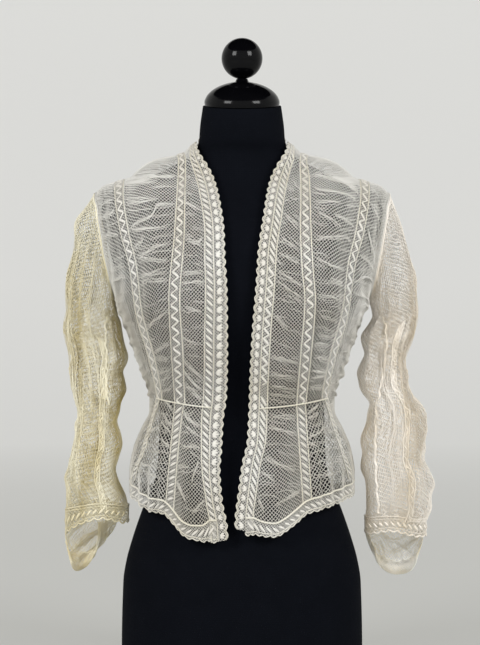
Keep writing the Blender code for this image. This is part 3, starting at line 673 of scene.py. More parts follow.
@dataclass
class FoldedCloth:
    """Cloth with given folds and a slight unevenness between them.

    Attributes:
        grid: Unfolded points in millimetres, rows along by columns across.
        away_from: Points that the outer face looks away from.
        folds: Folds to raise.
        level: Level of every grid point, rising along the columns.
        sway: Height of the slow unevenness between folds.
        crumple: Height of the small wrinkles that lie in all directions.
    """

    grid: Array
    away_from: Array
    folds: Sequence[Crease]
    level: Array
    sway: float = 0.0
    crumple: float = 0.0

    def __post_init__(self) -> None:
        """Keep the cloth as it is before it is folded."""
        self.base = Patch(self.grid, self.away_from, even=False)

    def patch(self) -> Patch:
        """The folded cloth: sines for the sway, sharp-crested waves for the wrinkles, and the folds."""
        rows, columns = self.grid.shape[:2]
        t = spaced(rows)[:, None]
        s = spaced(columns)[None, :]
        slow = np.sin(23 * t + 5 * s) * np.sin(9 * t - 7 * s + 1)
        height = self.sway * slow * np.sin(np.pi * s) * np.sin(np.pi * t)
        ends = np.sin(np.pi * s) ** 0.5 * np.sin(np.pi * t) ** 0.5
        for down, around, start in WRINKLES:
            wave = 1 - 2 * np.abs(np.sin(down * s + around * t + start)) ** 0.7
            height = height + self.crumple * ends * wave / 2
        for fold in self.folds:
            height = height + fold.rise(s, self.level - fold.centre(s))
        return Patch(self.grid + self.base.normal * height[..., None], self.away_from)

    def bunch(self, shape: Shape, finish: int) -> None:
        """Draw threads together along each fold: thin strands that wander over its crest and flanks.

        Args:
            shape: Mesh that takes the strands.
            finish: Material slot number.
        """
        along = spaced(len(self.grid))
        last = self.grid.shape[1] - 1
        chance = np.random.default_rng(len(self.folds))
        for fold in self.folds:
            for _ in range(fold.strands):
                trim = chance.uniform(0, STRAND_TRIM, 2) * (fold.end - fold.start)
                s = np.linspace(fold.start + trim[0], fold.end - trim[1], STRAND_POINTS)
                sway = np.sin(chance.uniform(6, 22) * s + chance.uniform(0, 2 * np.pi))
                off = fold.spread * (chance.normal(0, 0.6) + 0.4 * sway)
                low = np.clip((s * last).astype(int), 0, last - 1)
                part = s * last - low
                ladder = self.level[:, low] * (1 - part) + self.level[:, low + 1] * part
                aim = fold.centre(s) + off
                t = np.array([np.interp(aim[k], ladder[:, k], along) for k in range(STRAND_POINTS)])
                points, normals = self.base.place(s[None], t[None])
                lift = fold.rise(s, off) + STRAND_LIFT
                thick = 0.6 + 0.5 * np.sin(np.pi * spaced(STRAND_POINTS))
                STRAND.sweep(shape, finish, points + normals * lift[None, :, None], normals,
                             np.stack([s, t], axis=-1)[None], thick[None])


# Seam lines of the worn surface, as heights and angles
BODICE_ROWS = 170
PEPLUM_ROWS = 80
RIDGE_CROWDING = 1.6
HEM_BAND_DROP = 15.0
SCALLOP_DEPTH = 3.0
BACK_SEAM_TURN = 0.005
SOLVE_STEPS = 8
SeamLine = tuple[Array, Array]


def bodice_line(offset_at: Curve) -> SeamLine:
    """Heights and angles of a seam from the waist to the shoulder ridge, found by repeated reading.

    Args:
        offset_at: Distance from the centre line as a curve of the height.

    Returns:
        Heights and angles round the section.
    """
    top, bottom = NECK_TOP_Z, WAIST_FRONT_Z
    for _ in range(SOLVE_STEPS):
        top = float(RIDGE.at("z", abs(offset_at(np.array(top))), key="half_width"))
        bottom = float(waist_height(offset_at(np.array(bottom))))
    return rising_line(offset_at, bottom, top)


def rising_line(offset_at: Curve, bottom: float, top: float) -> SeamLine:
    """A seam whose heights come closer together towards the ridge and whose angle ends on it.

    Args:
        offset_at: Distance from the centre line as a curve of the height.
        bottom: Height where it starts.
        top: Height where it ends.

    Returns:
        Heights and angles round the section.
    """
    rise = 1 - (1 - spaced(BODICE_ROWS)) ** RIDGE_CROWDING
    z = bottom + (top - bottom) * rise
    turn = turn_of(offset_at(z), z)
    turn[-1] = 0.0
    return z, turn


def side_line() -> SeamLine:
    """Side seam and armhole seam from the waist to the shoulder tip."""
    return rising_line(side_limit, float(waist_height(side_limit(np.array(WAIST_FRONT_Z)))), SHOULDER_TIP_Z)


def peplum_line(offset_at: Curve, hem: Table) -> SeamLine:
    """Heights and angles of a seam from the hem up to the waist.

    Args:
        offset_at: Distance from the centre line as a curve of the height.
        hem: Heights of the hem.

    Returns:
        Heights and angles round the section.
    """
    top = bottom = WAIST_FRONT_Z
    for _ in range(SOLVE_STEPS):
        top = float(waist_height(offset_at(np.array(top))))
        bottom = float(hem.at("z", offset_at(np.array(bottom))))
    z = np.linspace(bottom, top, PEPLUM_ROWS)
    return z, turn_of(offset_at(z), z)


def joined(lower: SeamLine, upper: SeamLine) -> SeamLine:
    """One seam line through the peplum and the bodice."""
    return np.concatenate([lower[0], upper[0][1:]]), np.concatenate([lower[1], upper[1][1:]])


def fill_between(sign: float, first: SeamLine, second: SeamLine, columns: int) -> Array:
    """Grid of points on the worn surface between two seam lines.

    Args:
        sign: Which side of the centre line.
        first: Seam at share 0.
        second: Seam at share 1.
        columns: How many points across.

    Returns:
        Points, rows by columns by three.
    """
    share = spaced(columns)[None, :]
    z = first[0][:, None] * (1 - share) + second[0][:, None] * share
    turn = first[1][:, None] * (1 - share) + second[1][:, None] * share
    return worn_point(sign, turn, z)


def peplum_grid(sign: float, first: Curve, second: Curve, hem: Table, columns: int) -> Array:
    """Grid of points between two peplum seams, each column starting at the hem's own height there.

    Args:
        sign: Which side of the centre line.
        first: Distance of the seam at share 0 as a curve of the height.
        second: Distance of the seam at share 1.
        hem: Heights of the hem.
        columns: How many points across.

    Returns:
        Points, rows by columns by three.
    """
    lines = [peplum_line(lambda z, share=share: first(z) * (1 - share) + second(z) * share, hem)
             for share in spaced(columns)]
    z, turn = (np.stack([line[part] for line in lines], axis=1) for part in (0, 1))
    return worn_point(sign, turn, z)


def waves(grid: Array, count: int, height: float) -> Array:
    """Heights of gathers that grow from the waist to the hem, dying away at the side seams.

    Args:
        grid: Points with the hem in the first row.
        count: How many gathers.
        height: How far they stand out at the hem.

    Returns:
        Heights, rows by columns.
    """
    down = 1 - spaced(grid.shape[0])[:, None]
    across = spaced(grid.shape[1])[None, :]
    wave = 0.5 - 0.5 * np.cos(2 * np.pi * count * across)
    return height * down ** 1.2 * wave * np.sin(np.pi * across) ** 0.4


def srgb(red: int, green: int, blue: int) -> tuple[float, float, float, float]:
    """Linear colour from display values: ((v + 0.055) / 1.055) ** 2.4 above the dark end.

    Args:
        red: Red, 0 to 255.
        green: Green.
        blue: Blue.

    Returns:
        The colour, opaque.
    """
    def linear(value: int) -> float:
        """One channel."""
        share = value / 255
        return share / 12.92 if share <= 0.04045 else ((share + 0.055) / 1.055) ** 2.4
    return linear(red), linear(green), linear(blue), 1.0


class Graph:
    """A node tree with short ways to add and join nodes."""

    def __init__(self, tree: NodeTree) -> None:
        """Keep the tree."""
        self.tree = tree

    def feed(self, node: Node, inputs: dict[str | int, object]) -> None:
        """Give a node's sockets their values, or join output sockets to them.

        Args:
            node: Node to feed.
            inputs: Values or output sockets, by the socket's name or number.
        """
        for name, value in inputs.items():
            if isinstance(value, NodeSocket):
                self.tree.links.new(value, node.inputs[name])
            else:
                node.inputs[name].default_value = value

    def node(self, kind: str, inputs: dict[str | int, object] | None = None, **settings: object) -> Node:
        """Add a node.

        Args:
            kind: Node type.
            inputs: Values or output sockets, by the socket's name or number.
            settings: Properties of the node.

        Returns:
            The node.
        """
        made = self.tree.nodes.new(kind)
        for name, value in settings.items():
            setattr(made, name, value)
        self.feed(made, inputs or {})
        return made

    def place(self) -> NodeSocket:
        """Object coordinates."""
        return self.node("ShaderNodeTexCoord").outputs["Object"]

    def mix(self, factor: object, first: object, second: object) -> NodeSocket:
        """The first colour mixed with a share of the second."""
        return self.node("ShaderNodeMix", {0: factor, 6: first, 7: second}, data_type="RGBA").outputs[2]

    def math(self, operation: str, first: object, second: object) -> NodeSocket:
        """Two values put together by an operation."""
        return self.node("ShaderNodeMath", {0: first, 1: second}, operation=operation).outputs[0]

    def noise(self, vector: object, scale: object, detail: float, rough: float = 0.5) -> NodeSocket:
        """Cloudy noise from 0 to 1."""
        inputs = {"Vector": vector, "Scale": scale, "Detail": detail, "Roughness": rough}
        return self.node("ShaderNodeTexNoise", inputs).outputs["Fac"]

    def ranged(self, value: object, low: float, high: float, start: float = 0.0,
               end: float = 1.0) -> NodeSocket:
        """A value carried from the range low to high to the range start to end."""
        inputs = {"Value": value, "From Min": low, "From Max": high, "To Min": start, "To Max": end}
        return self.node("ShaderNodeMapRange", inputs).outputs["Result"]

    def bump(self, strength: float, distance: float, height: object) -> NodeSocket:
        """Normal of a bumpy surface."""
        inputs = {"Strength": strength, "Distance": distance, "Height": height}
        return self.node("ShaderNodeBump", inputs).outputs["Normal"]


def new_finish(name: str) -> tuple[Material, Graph, Node]:
    """A new material, its graph and its Principled shader."""
    finish = bpy.data.materials.new(name)
    finish.use_nodes = True
    return finish, Graph(finish.node_tree), finish.node_tree.nodes["Principled BSDF"]


Colour = tuple[float, float, float, float]
# Painted Top Light sets how much painted light lightens the colour towards the top.
COTTON_INPUTS = {
    "Clean": "NodeSocketColor", "Aged": "NodeSocketColor", "Patches": "NodeSocketFloat",
    "Fibres": "NodeSocketFloat", "Stretch": "NodeSocketVector", "Painted Top Light": "NodeSocketFloat",
}
COTTON_OUTPUTS = {"Color": "NodeSocketColor", "Height": "NodeSocketFloat"}
AGED_FROM, AGED_TO = 0.36, 0.66
# Heights in metres over which the painted top light comes in.
WRIST_HEIGHT, SHOULDER_HEIGHT = 0.44, 0.60


def painted_light_cotton_group() -> NodeTree:
    """Node group: cotton colours in cloudy patches of wear, painted light that lightens them towards the top,
    and fine fibre height.

    Returns:
        The group, with Color and Height outputs.
    """
    tree = bpy.data.node_groups.new("cotton_wear_and_painted_light", "ShaderNodeTree")
    for way, sockets in (("INPUT", COTTON_INPUTS), ("OUTPUT", COTTON_OUTPUTS)):
        for name, kind in sockets.items():
            tree.interface.new_socket(name=name, in_out=way, socket_type=kind)
    graph = Graph(tree)
    given = graph.node("NodeGroupInput").outputs
    place = graph.place()
    drawn = graph.node("ShaderNodeVectorMath", {0: place, 1: given["Stretch"]}, operation="MULTIPLY")
    clouds = graph.noise(drawn.outputs["Vector"], given["Patches"], 3.0)
    height = graph.node("ShaderNodeSeparateXYZ", {"Vector": place}).outputs["Z"]
    # Painted light: from WRIST_HEIGHT up to SHOULDER_HEIGHT less aged colour is mixed in, so the top is
    # painted lighter; the mix factor carries both the patches of wear and this painted light.
    rise = graph.ranged(height, WRIST_HEIGHT, SHOULDER_HEIGHT)
    left = graph.math("SUBTRACT", 1.0, graph.math("MULTIPLY", rise, given["Painted Top Light"]))
    worn = graph.math("MULTIPLY", graph.ranged(clouds, AGED_FROM, AGED_TO), left)
    mottled_painted_light = graph.mix(worn, given["Clean"], given["Aged"])
    graph.node("NodeGroupOutput", {"Color": mottled_painted_light, "Height": graph.noise(place, given["Fibres"], 2.0)})
    return tree


@dataclass(frozen=True)
class CottonFinish:
    """Cotton thread: clean and aged colours, the size of the aged patches, the painted light that lightens
    the top, and the surface.
    """

    name: str
    clean: Colour
    aged: Colour
    patches: float = 9.0
    fibres: float = 1400.0
    stretch: tuple[float, float, float] = (1.0, 1.0, 1.0)
    # Share of painted light that lightens the colour towards the top.
    cleaner_top: float = 0.0
    roughness: float = 0.82
    sheen: float = 0.25
    gloss: float = 0.2

    def make(self, group: NodeTree) -> Material:
        """Make the material.

        Args:
            group: The node group of aged cotton with painted top light.

        Returns:
            The material.
        """
        finish, graph, shader = new_finish(self.name)
        cotton = graph.node("ShaderNodeGroup", node_tree=group)
        graph.feed(cotton, {"Clean": self.clean, "Aged": self.aged, "Patches": self.patches,
                            "Fibres": self.fibres, "Stretch": self.stretch, "Painted Top Light": self.cleaner_top})
        graph.feed(shader, {"Base Color": cotton.outputs["Color"], "Roughness": self.roughness,
                            "Normal": graph.bump(0.35, 0.0004, cotton.outputs["Height"]),
                            "Sheen Weight": self.sheen, "Specular IOR Level": self.gloss})
        return finish


@dataclass(frozen=True)
class JerseyFinish:
    """Black knitted cover of the dress form, with a fine rib and a little lint."""

    name: str = "black_jersey"
    dark: Colour = srgb(8, 10, 15)
    light: Colour = srgb(14, 16, 22)
    wale: float = 150.0
    course: float = 110.0
    roughness: float = 0.93
    gloss: float = 0.04

    def make(self) -> Material:
        """Make the material: wales times courses as bump, clouds of lint as colour.

        Returns:
            The material.
        """
        finish, graph, shader = new_finish(self.name)
        place = graph.place()
        lint = graph.noise(place, 34.0, 6.0, 0.7)
        ribs = [graph.node("ShaderNodeTexWave", {"Vector": place, "Scale": scale, "Distortion": bend},
                           bands_direction=way).outputs["Fac"]
                for scale, bend, way in ((self.wale, 0.4, "X"), (self.course, 0.6, "Z"))]
        graph.feed(shader, {"Base Color": graph.mix(lint, self.dark, self.light), "Roughness": self.roughness,
                            "Normal": graph.bump(0.25, 0.0006, graph.math("MULTIPLY", *ribs)),
                            "Specular IOR Level": self.gloss})
        return finish


@dataclass(frozen=True)
class LacquerFinish:
    """Black lacquered wood of the neck cap and ball, with faint polishing marks."""

    name: str = "black_lacquer"
    dark: Colour = srgb(3, 3, 5)
    worn: Colour = srgb(8, 8, 10)
    low: float = 0.07
    high: float = 0.15
    gloss: float = 0.14

    def make(self) -> Material:
        """Make the material: clouds of wear set the colour and the roughness.

        Returns:
            The material.
        """
        finish, graph, shader = new_finish(self.name)
        wear = graph.noise(graph.place(), 26.0, 5.0)
        graph.feed(shader, {"Base Color": graph.mix(wear, self.dark, self.worn),
                            "Roughness": graph.ranged(wear, 0.0, 1.0, self.low, self.high),
                            "Specular IOR Level": self.gloss})
        return finish


@dataclass(frozen=True)
class PaperFinish:
    """Pale backdrop paper that glows a little more the farther it is from the object: the weaker glow near
    the object is a painted shade on the floor round it.
    """

    name: str = "pale_backdrop"
    dark: Colour = srgb(150, 150, 148)
    light: Colour = srgb(156, 156, 155)
    # Painted shade: the glow is dimmer near the object.
    near_glow: Colour = srgb(196, 196, 190)
    far_glow: Colour = srgb(255, 255, 252)
    near: float = 0.3
    far: float = 6.5
    glow: float = 0.53
    roughness: float = 0.95

    def make(self) -> Material:
        """Make the material: soft clouds as colour, the distance from the object as glow, dimmer near the
        object as painted shade.

        Returns:
            The material.
        """
        finish, graph, shader = new_finish(self.name)
        place = graph.place()
        reach = graph.node("ShaderNodeVectorMath", {0: place}, operation="LENGTH").outputs["Value"]
        # Painted shade: the glow grows from near_glow by the object to far_glow far away.
        far = graph.ranged(reach, self.near, self.far)
        graph.feed(shader, {"Base Color": graph.mix(graph.noise(place, 0.4, 2.0), self.dark, self.light),
                            "Emission Color": graph.mix(far, self.near_glow, self.far_glow),
                            "Emission Strength": self.glow, "Roughness": self.roughness})
        return finish


class Slot(Enum):
    """Material kinds of the pieces."""

    NET = "net"
    LACE = "lace"
    CORD = "cord"
    JERSEY = "jersey"
    LACQUER = "lacquer"


@dataclass(frozen=True)
class LaceFinishes:
    """Materials of one band of lace: its ground, its cords and its motif."""

    ground: Material
    cord: Material
    motif: Material


@dataclass
class Wardrobe:
    """Every material, made once."""

    net: Material
    lace: LaceFinishes
    sleeves: dict[Side, Material]
    drops: dict[Side, Material]
    sleeve_lace: dict[Side, LaceFinishes]
    jersey: Material
    lacquer: Material

    @classmethod
    def make(cls) -> "Wardrobe":
        """Make the materials.

        Returns:
            All of them.
        """
        group = painted_light_cotton_group()

        def cotton(name: str, clean: Colour, aged: Colour, **values: object) -> Material:
            """One cotton material."""
            return CottonFinish(f"cotton_{name}", clean, aged, **values).make(group)

        lace = LaceFinishes(
            ground=cotton("lace", srgb(204, 202, 198), srgb(194, 190, 180)),
            cord=cotton("cord", srgb(232, 229, 219), srgb(220, 214, 197), fibres=900.0),
            motif=cotton("motif", srgb(230, 228, 222), srgb(218, 213, 203), fibres=900.0),
        )
        # The sleeves take the painted top light in full.
        streaked = {"patches": 30.0, "stretch": (1.0, 1.0, 0.22), "cleaner_top": 1.0}
        # Painted light: the left sleeve's colours are darker and yellower than the right's, standing for the
        # light that falls on each side.
        sleeves = {
            Side.LEFT: cotton("net_left_sleeve", srgb(245, 239, 215), srgb(197, 179, 118), **streaked),
            Side.RIGHT: cotton("net_right_sleeve", srgb(252, 246, 237), srgb(218, 204, 180), **streaked),
        }
        # Painted light: the drops take lighter copies of the sleeve colours, making up for the shade the cuff
        # casts on them.
        drops = {
            Side.LEFT: cotton("net_left_drop", srgb(252, 246, 224), srgb(236, 222, 180), patches=30.0),
            Side.RIGHT: cotton("net_right_drop", srgb(253, 250, 242), srgb(240, 230, 206), patches=30.0),
        }
        return cls(
            # The body net takes the painted top light in full too.
            net=cotton("net", srgb(224, 222, 216), srgb(192, 187, 175), cleaner_top=1.0),
            lace=lace,
            sleeves=sleeves,
            drops=drops,
            sleeve_lace={side: LaceFinishes(sleeve, sleeve, sleeve) for side, sleeve in sleeves.items()},
            jersey=JerseyFinish().make(),
            lacquer=LacquerFinish().make(),
        )


def enter(piece: Object, slot: Slot, *nodes: str) -> Object:
    """Attach a piece to the root and hide the CAD nodes it stands for.

    Args:
        piece: Finished piece.
        slot: Not used.
        nodes: CAD nodes it replaces.

    Returns:
        The piece.
    """
    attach(piece, "root")
    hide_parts(*nodes)
    return piece


def enter_cloth(shape: Shape, node: str, finishes: Sequence[Material], slot: Slot, patch: Patch,
                motifs: Sequence[Object] = ()) -> Object:
    """Make a cloth piece and enter it.

    Args:
        shape: Gathered mesh.
        node: CAD node it replaces.
        finishes: Materials in slot order.
        slot: Material kind, passed on to enter.
        patch: Not used.
        motifs: Not used.

    Returns:
        The piece.
    """
    piece = enter(shape.to_object(f"{node}_cloth", finishes), slot, node)
    return piece


# Weaves and cords
BODY_NET = NetWeave()
BACK_NET = NetWeave(pitch=4.8, thread=1.3)
SLEEVE_NET = NetWeave(pitch=3.9, thread=1.0, wander=0.5)
DROP_NET = NetWeave(pitch=3.4, thread=0.84, wander=0.2)
LACE_GROUND = NetWeave(pitch=2.6, thread=1.2, wander=0.1, over=0.08)
BORDER_CORD = Cord(0.62, 0.6, sides=5)
RIM_CORD = Cord(1.0, 0.8, sides=5)
THIN_CORD = Cord(0.45, 0.4, sides=4)
ZIGZAG_CORD = Cord(1.5, 0.8, sides=5)
STROKE = Cord(1.3, 0.75, sides=5)
SEAM_CORD = Cord(1.2, 1.1, sides=6, twist_depth=0.16)
WAIST_CORD = Cord(0.9, 0.9, sides=7, twist_depth=0.12)
BORDER_INSET = 0.6
LACE_LIFT = 0.9
LINE_STEP = 2.2
ZIGZAG_STEP = 1.5
LEAF_POINTS = 7
BAND_COLUMNS = 9
STRIP_COLUMNS = 40
PANEL_COLUMNS = 50
PEPLUM_COLUMNS = (24, BAND_COLUMNS, 70)
SEAM_POINTS = 220
PANEL_SWAY = 1.5
NET_SLOT, CORD_SLOT = 0, 1
EDGE_SLOT, MOTIF_SLOT = 0, 1


@dataclass
class LaceWork:
    """Motifs worked on one band of lace, share 0 at its free or inner edge.

    Attributes:
        patch: The band's cloth.
        seed: Seed of the ground's small wanderings.
        shape: Mesh of the ground.
        raised: Mesh of the motif and the cords.
    """

    patch: Patch
    seed: int
    shape: Shape = field(default_factory=Shape)
    raised: Shape = field(default_factory=Shape)

    @classmethod
    def worn(cls, grid: Array, seed: int) -> "LaceWork":
        """Lace on a piece of the worn surface."""
        return cls(Patch(grid, axis_of(grid)), seed)

    def along(self, step: float) -> Array:
        """Shares along the band, a step in millimetres apart."""
        return spaced(max(8, int(self.patch.length / step)))

    def scallop(self, pitch: float, depth: float) -> Curve:
        """Lowest share across for a scalloped edge: depth * (1 - |sin(pi * count * t)|) / width."""
        count = max(1, round(self.patch.length / pitch))
        return lambda t: depth * (1 - np.abs(np.sin(np.pi * count * t))) / self.patch.width(t)

    def ground(self, low_edge: Curve | None = None, net: NetWeave = LACE_GROUND) -> None:
        """Fine net behind the motif."""
        net.weave(self.shape, NET_SLOT, self.patch, self.seed, low_edge)

    def bordered(self) -> None:
        """Ground with a cord just inside each edge."""
        self.ground()
        self.line(BORDER_CORD, from_low=BORDER_INSET)
        self.line(BORDER_CORD, from_high=BORDER_INSET)

    def line(self, cord: Cord, from_low: float | None = None, from_high: float | None = None,
             low_edge: Curve | None = None, lift: float = 0.5) -> None:
        """A cord along the band at a distance from one edge.

        Args:
            cord: Cord to lay.
            from_low: Millimetres from the low edge.
            from_high: Millimetres from the high edge.
            low_edge: Scalloped low edge to follow.
            lift: Height above the cloth.
        """
        t = self.along(LINE_STEP)
        width = self.patch.width(t)
        if from_high is not None:
            s = 1 - from_high / width
        else:
            s = (from_low or 0.0) / width + (0 if low_edge is None else low_edge(t))
        cord.lay(self.raised, EDGE_SLOT, self.patch, s, t, lift)

    def zigzag(self, period: float, share: float, lean: float, start: float = 0.0, end: float = 1.0,
               size: float = 1.0) -> None:
        """A cord swinging from side to side: a rounded triangle wave, thick on every other limb.

        Args:
            period: Millimetres for one full swing.
            share: Reach to each side as a share of the width.
            lean: 1 where limbs that rise to the high edge are the thick ones, -1 for the others.
            start: Share along where it begins.
            end: Share along where it stops.
            size: Scale of the cord.
        """
        t = start + (end - start) * self.along(ZIGZAG_STEP)
        phase = 2 * np.pi * t * self.patch.length / period
        s = 0.5 + share * 2 / np.pi * np.arcsin(0.96 * np.sin(phase))
        thick = size * (0.88 + 0.32 * lean * np.cos(phase))
        ZIGZAG_CORD.lay(self.raised, MOTIF_SLOT, self.patch, s, t, 0.7 * size, thick[None])

    def strokes(self, pitch: float, lean: float, reach: float, rise: float, start: float = 0.0,
                end: float = 1.0) -> None:
        """Slanted leaf-shaped strokes, one after another along the band.

        Args:
            pitch: Millimetres between strokes.
            lean: 1 where the high edge's end is the upper one, -1 for the other way.
            reach: Share of the width each stroke takes to either side of the middle.
            rise: Half its height in millimetres.
            start: Share along of the first stroke.
            end: Share along of the last stroke.
        """
        count = max(2, int((end - start) * self.patch.length / pitch))
        middle = np.linspace(start, end, count + 2)[1:-1, None]
        sweep = np.linspace(-1, 1, LEAF_POINTS)[None, :]
        s = 0.5 + reach * sweep + 0 * middle
        t = middle + lean * rise * sweep / self.patch.length
        leaf = 0.25 + 0.95 * np.sin(np.pi * (sweep + 1) / 2) ** 0.6
        narrow = np.clip(self.patch.width(middle) / 10, 0.5, 1.1)
        STROKE.lay(self.raised, MOTIF_SLOT, self.patch, s, t, 0.6, leaf * narrow)

    def shells(self, pitch: float, root: float, tip: float) -> None:
        """A small fan of three leaves in each scallop.

        Args:
            pitch: Millimetres between scallops.
            root: Share across where the leaves spring.
            tip: Share across that they reach.
        """
        count = max(1, round(self.patch.length / pitch))
        middle = ((np.arange(count) + 0.5) / count)[:, None]
        size = np.clip(self.patch.width(middle) / 13, 0.4, 1.1)
        sweep = spaced(LEAF_POINTS)[None, :]
        leaf = 0.3 + 1.1 * np.sin(np.pi * sweep ** 0.8)
        for lean in (-1.0, 0.0, 1.0):
            s = root + (tip - root) * sweep * (1 - 0.22 * abs(lean)) + 0 * middle
            t = middle + lean * size * (0.4 + 3.4 * sweep) / self.patch.length
            STROKE.lay(self.raised, MOTIF_SLOT, self.patch, s, t, 0.4, leaf * size)

    def enter(self, node: str, finishes: "LaceFinishes", held: str, rests_on: Sequence[str]) -> None:
        """Make the ground and the raised work, attach the work and enter the ground.

        Args:
            node: CAD node that the ground replaces.
            finishes: The band's materials.
            held: Not used.
            rests_on: Not used.
        """
        motif = self.raised.to_object(f"{node}_work", [finishes.cord, finishes.motif])
        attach(motif, "root")
        enter_cloth(self.shape, node, [finishes.ground], Slot.LACE, self.patch, [motif])


def puckers(height: float, low: float, high: float, count: int, slant: float,
            seed: int) -> tuple[Crease, ...]:
    """A run of short uneven creases, one above another, as where a gathered seam draws the net in.

    Args:
        height: Middle height of the creases.
        low: Level of the lowest.
        high: Level of the highest.
        count: How many.
        slant: Fall along the panel from its first to its second seam.
        seed: Seed of the unevenness.

    Returns:
        The creases.
    """
    chance = np.random.default_rng(seed)
    places = np.linspace(low, high, count) + chance.normal(0, 0.15 * (high - low) / count, count)
    starts = chance.uniform(0.0, 0.35, count)
    ends = chance.uniform(0.75, 1.0, count)
    heights = height * chance.uniform(0.6, 1.3, count)
    tilts = slant * chance.uniform(0.4, 1.6, count)
    return tuple(Crease(h, (a, t), ((a + b) / 2, t - 0.35 * tilt), (b, t - tilt), spread=3.4)
                 for h, a, b, t, tilt in zip(heights, starts, ends, places, tilts))


def gathers(low: float, high: float, count: int, fall: float, seed: int) -> tuple[Crease, ...]:
    """Fine gathers that run in from the two seams in turn and fade out in the panel.

    Args:
        low: Level of the lowest.
        high: Level of the highest.
        count: How many.
        fall: How far a full-width one would drop from the first seam to the second.
        seed: Seed of the unevenness.

    Returns:
        The creases.
    """
    chance = np.random.default_rng(seed)
    made = []
    for number, place in enumerate(np.linspace(low, high, count)):
        reach = chance.uniform(0.35, 0.85)
        start = 0.0 if number % 2 == 0 else 1 - reach
        drop = fall * reach * chance.uniform(0.2, 1.8)
        begin = place + chance.normal(0, 3) - fall * (start - 0.5)
        made.append(Crease(chance.uniform(0.6, 1.4), (start, begin),
                           (start + reach / 2, begin - drop / 2 + chance.normal(0, 2)),
                           (start + reach, begin - drop), spread=1.7, strands=2))
    return tuple(made)


def creases(*rows: tuple[float | tuple[float, float], ...]) -> tuple[Crease, ...]:
    """Creases from rows of a height and the points of a path."""
    return tuple(Crease(*row) for row in rows)


PANEL_FOLDS = {
    Side.LEFT: gathers(372, 650, 30, 8, 11) + creases(
        (2.2, (0.03, 641), (0.46, 641), (0.66, 644), (0.9, 640)),
        (1.4, (0.28, 614), (0.56, 612), (0.97, 608)),
        (2.8, (0.03, 605), (0.30, 605), (0.36, 601), (0.40, 593), (0.47, 589), (0.73, 583),
               (0.98, 574)),
        (2.4, (0.06, 580), (0.29, 575), (0.74, 574), (0.97, 573)),
        (1.6, (0.64, 564), (0.8, 555), (1.0, 549)),
        (2.8, (0.06, 559), (0.19, 554), (0.42, 551), (0.68, 543), (0.97, 539)),
        (2.0, (0.04, 537), (0.28, 536), (0.63, 539), (0.98, 538)),
        (2.4, (0.04, 520), (0.49, 518), (0.98, 515)), (1.8, (0.04, 508), (0.62, 511), (0.95, 504)),
        (1.6, (0.01, 472), (0.5, 462), (0.98, 450)),
        (2.6, (0.05, 432), (0.6, 424), (0.98, 419)), (1.8, (0.05, 412), (0.9, 412)),
        (2.4, (0.05, 400), (0.95, 394)), (1.8, (0.1, 388), (0.9, 383)), (2.2, (0.05, 376), (0.95, 370)),
    ),
    Side.RIGHT: gathers(368, 648, 30, 10, 12) + creases(
        (2.4, (0.18, 645), (0.5, 634), (0.76, 627), (0.98, 622)),
        (2.8, (0.0, 634), (0.13, 625), (0.36, 622), (0.63, 619), (0.9, 612)),
        (1.6, (0.04, 609), (0.58, 609)), (2.2, (0.09, 596), (0.52, 581), (0.65, 574)),
        (2.0, (0.45, 592), (0.7, 586), (0.96, 577)),
        (2.4, (0.03, 559), (0.43, 564), (0.74, 564), (0.96, 557)),
        (2.6, (0.07, 538), (0.36, 531), (0.65, 526), (0.92, 523)),
        (1.6, (0.45, 512), (0.9, 506)), (2.4, (0.08, 493), (0.52, 490), (0.97, 483)),
        (1.4, (0.1, 468), (0.9, 459)), (2.0, (0.1, 445), (0.6, 442), (0.95, 445)),
        (1.6, (0.0, 432), (0.8, 429)), (1.8, (0.1, 415), (0.95, 412)),
        (2.6, (0.05, 397), (0.9, 395)), (2.0, (0.0, 388), (0.95, 391)), (2.2, (0.05, 377), (0.95, 377)),
    ),
}
STRIP_FOLDS = {
    Side.LEFT: gathers(362, 640, 24, -4, 13) + creases(
        (1.6, (0.3, 601), (1.0, 607)), (2.0, (0.05, 563), (0.4, 558), (0.95, 563)),
        (2.2, (0.02, 521), (0.98, 518)), (2.2, (0.02, 509), (0.98, 507)),
        (1.2, (0.1, 471), (0.8, 477)), (1.4, (0.3, 432), (1.0, 441)),
        (2.0, (0.05, 389), (0.5, 398), (0.98, 410)), (2.2, (0.05, 373), (0.5, 383), (0.98, 397)),
        (2.0, (0.05, 359), (0.5, 370), (0.98, 380)),
    ),
    Side.RIGHT: gathers(362, 640, 24, 12, 14) + creases(
        (1.8, (0.05, 594), (0.95, 577)), (1.8, (0.1, 563), (0.9, 548)),
        (2.4, (0.05, 544), (0.95, 529)), (2.2, (0.02, 523), (0.98, 501)),
        (2.4, (0.02, 510), (0.98, 486)), (1.6, (0.02, 468), (0.5, 450)),
        (2.0, (0.02, 418), (0.98, 407)), (1.6, (0.02, 394), (0.98, 386)),
        (2.2, (0.02, 380), (0.98, 373)), (1.8, (0.02, 370), (0.98, 365)),
    ),
}
SIDE_FOLDS = {
    Side.LEFT: gathers(372, 612, 24, 6, 15) + creases(
        (2.0, (0.05, 613), (0.9, 607)), (1.8, (0.05, 600), (0.4, 592), (0.9, 590)),
        (2.2, (0.05, 568), (0.5, 567), (0.9, 571)), (2.0, (0.1, 532), (0.8, 524)),
        (2.2, (0.05, 516), (0.9, 509)),
    ) + puckers(3.2, 361, 488, 13, 8, 3),
    Side.RIGHT: gathers(372, 612, 24, 14, 16) + creases(
        (1.6, (0.1, 607), (0.6, 582), (0.8, 554)), (1.8, (0.02, 582), (0.5, 549), (0.8, 527)),
        (2.2, (0.05, 543), (0.5, 532), (0.8, 521)), (3.0, (0.0, 509), (0.4, 516), (0.95, 505)),
        (3.4, (0.0, 496), (0.5, 488), (0.95, 480)),
    ) + puckers(4.0, 358, 480, 12, 8, 4),
}
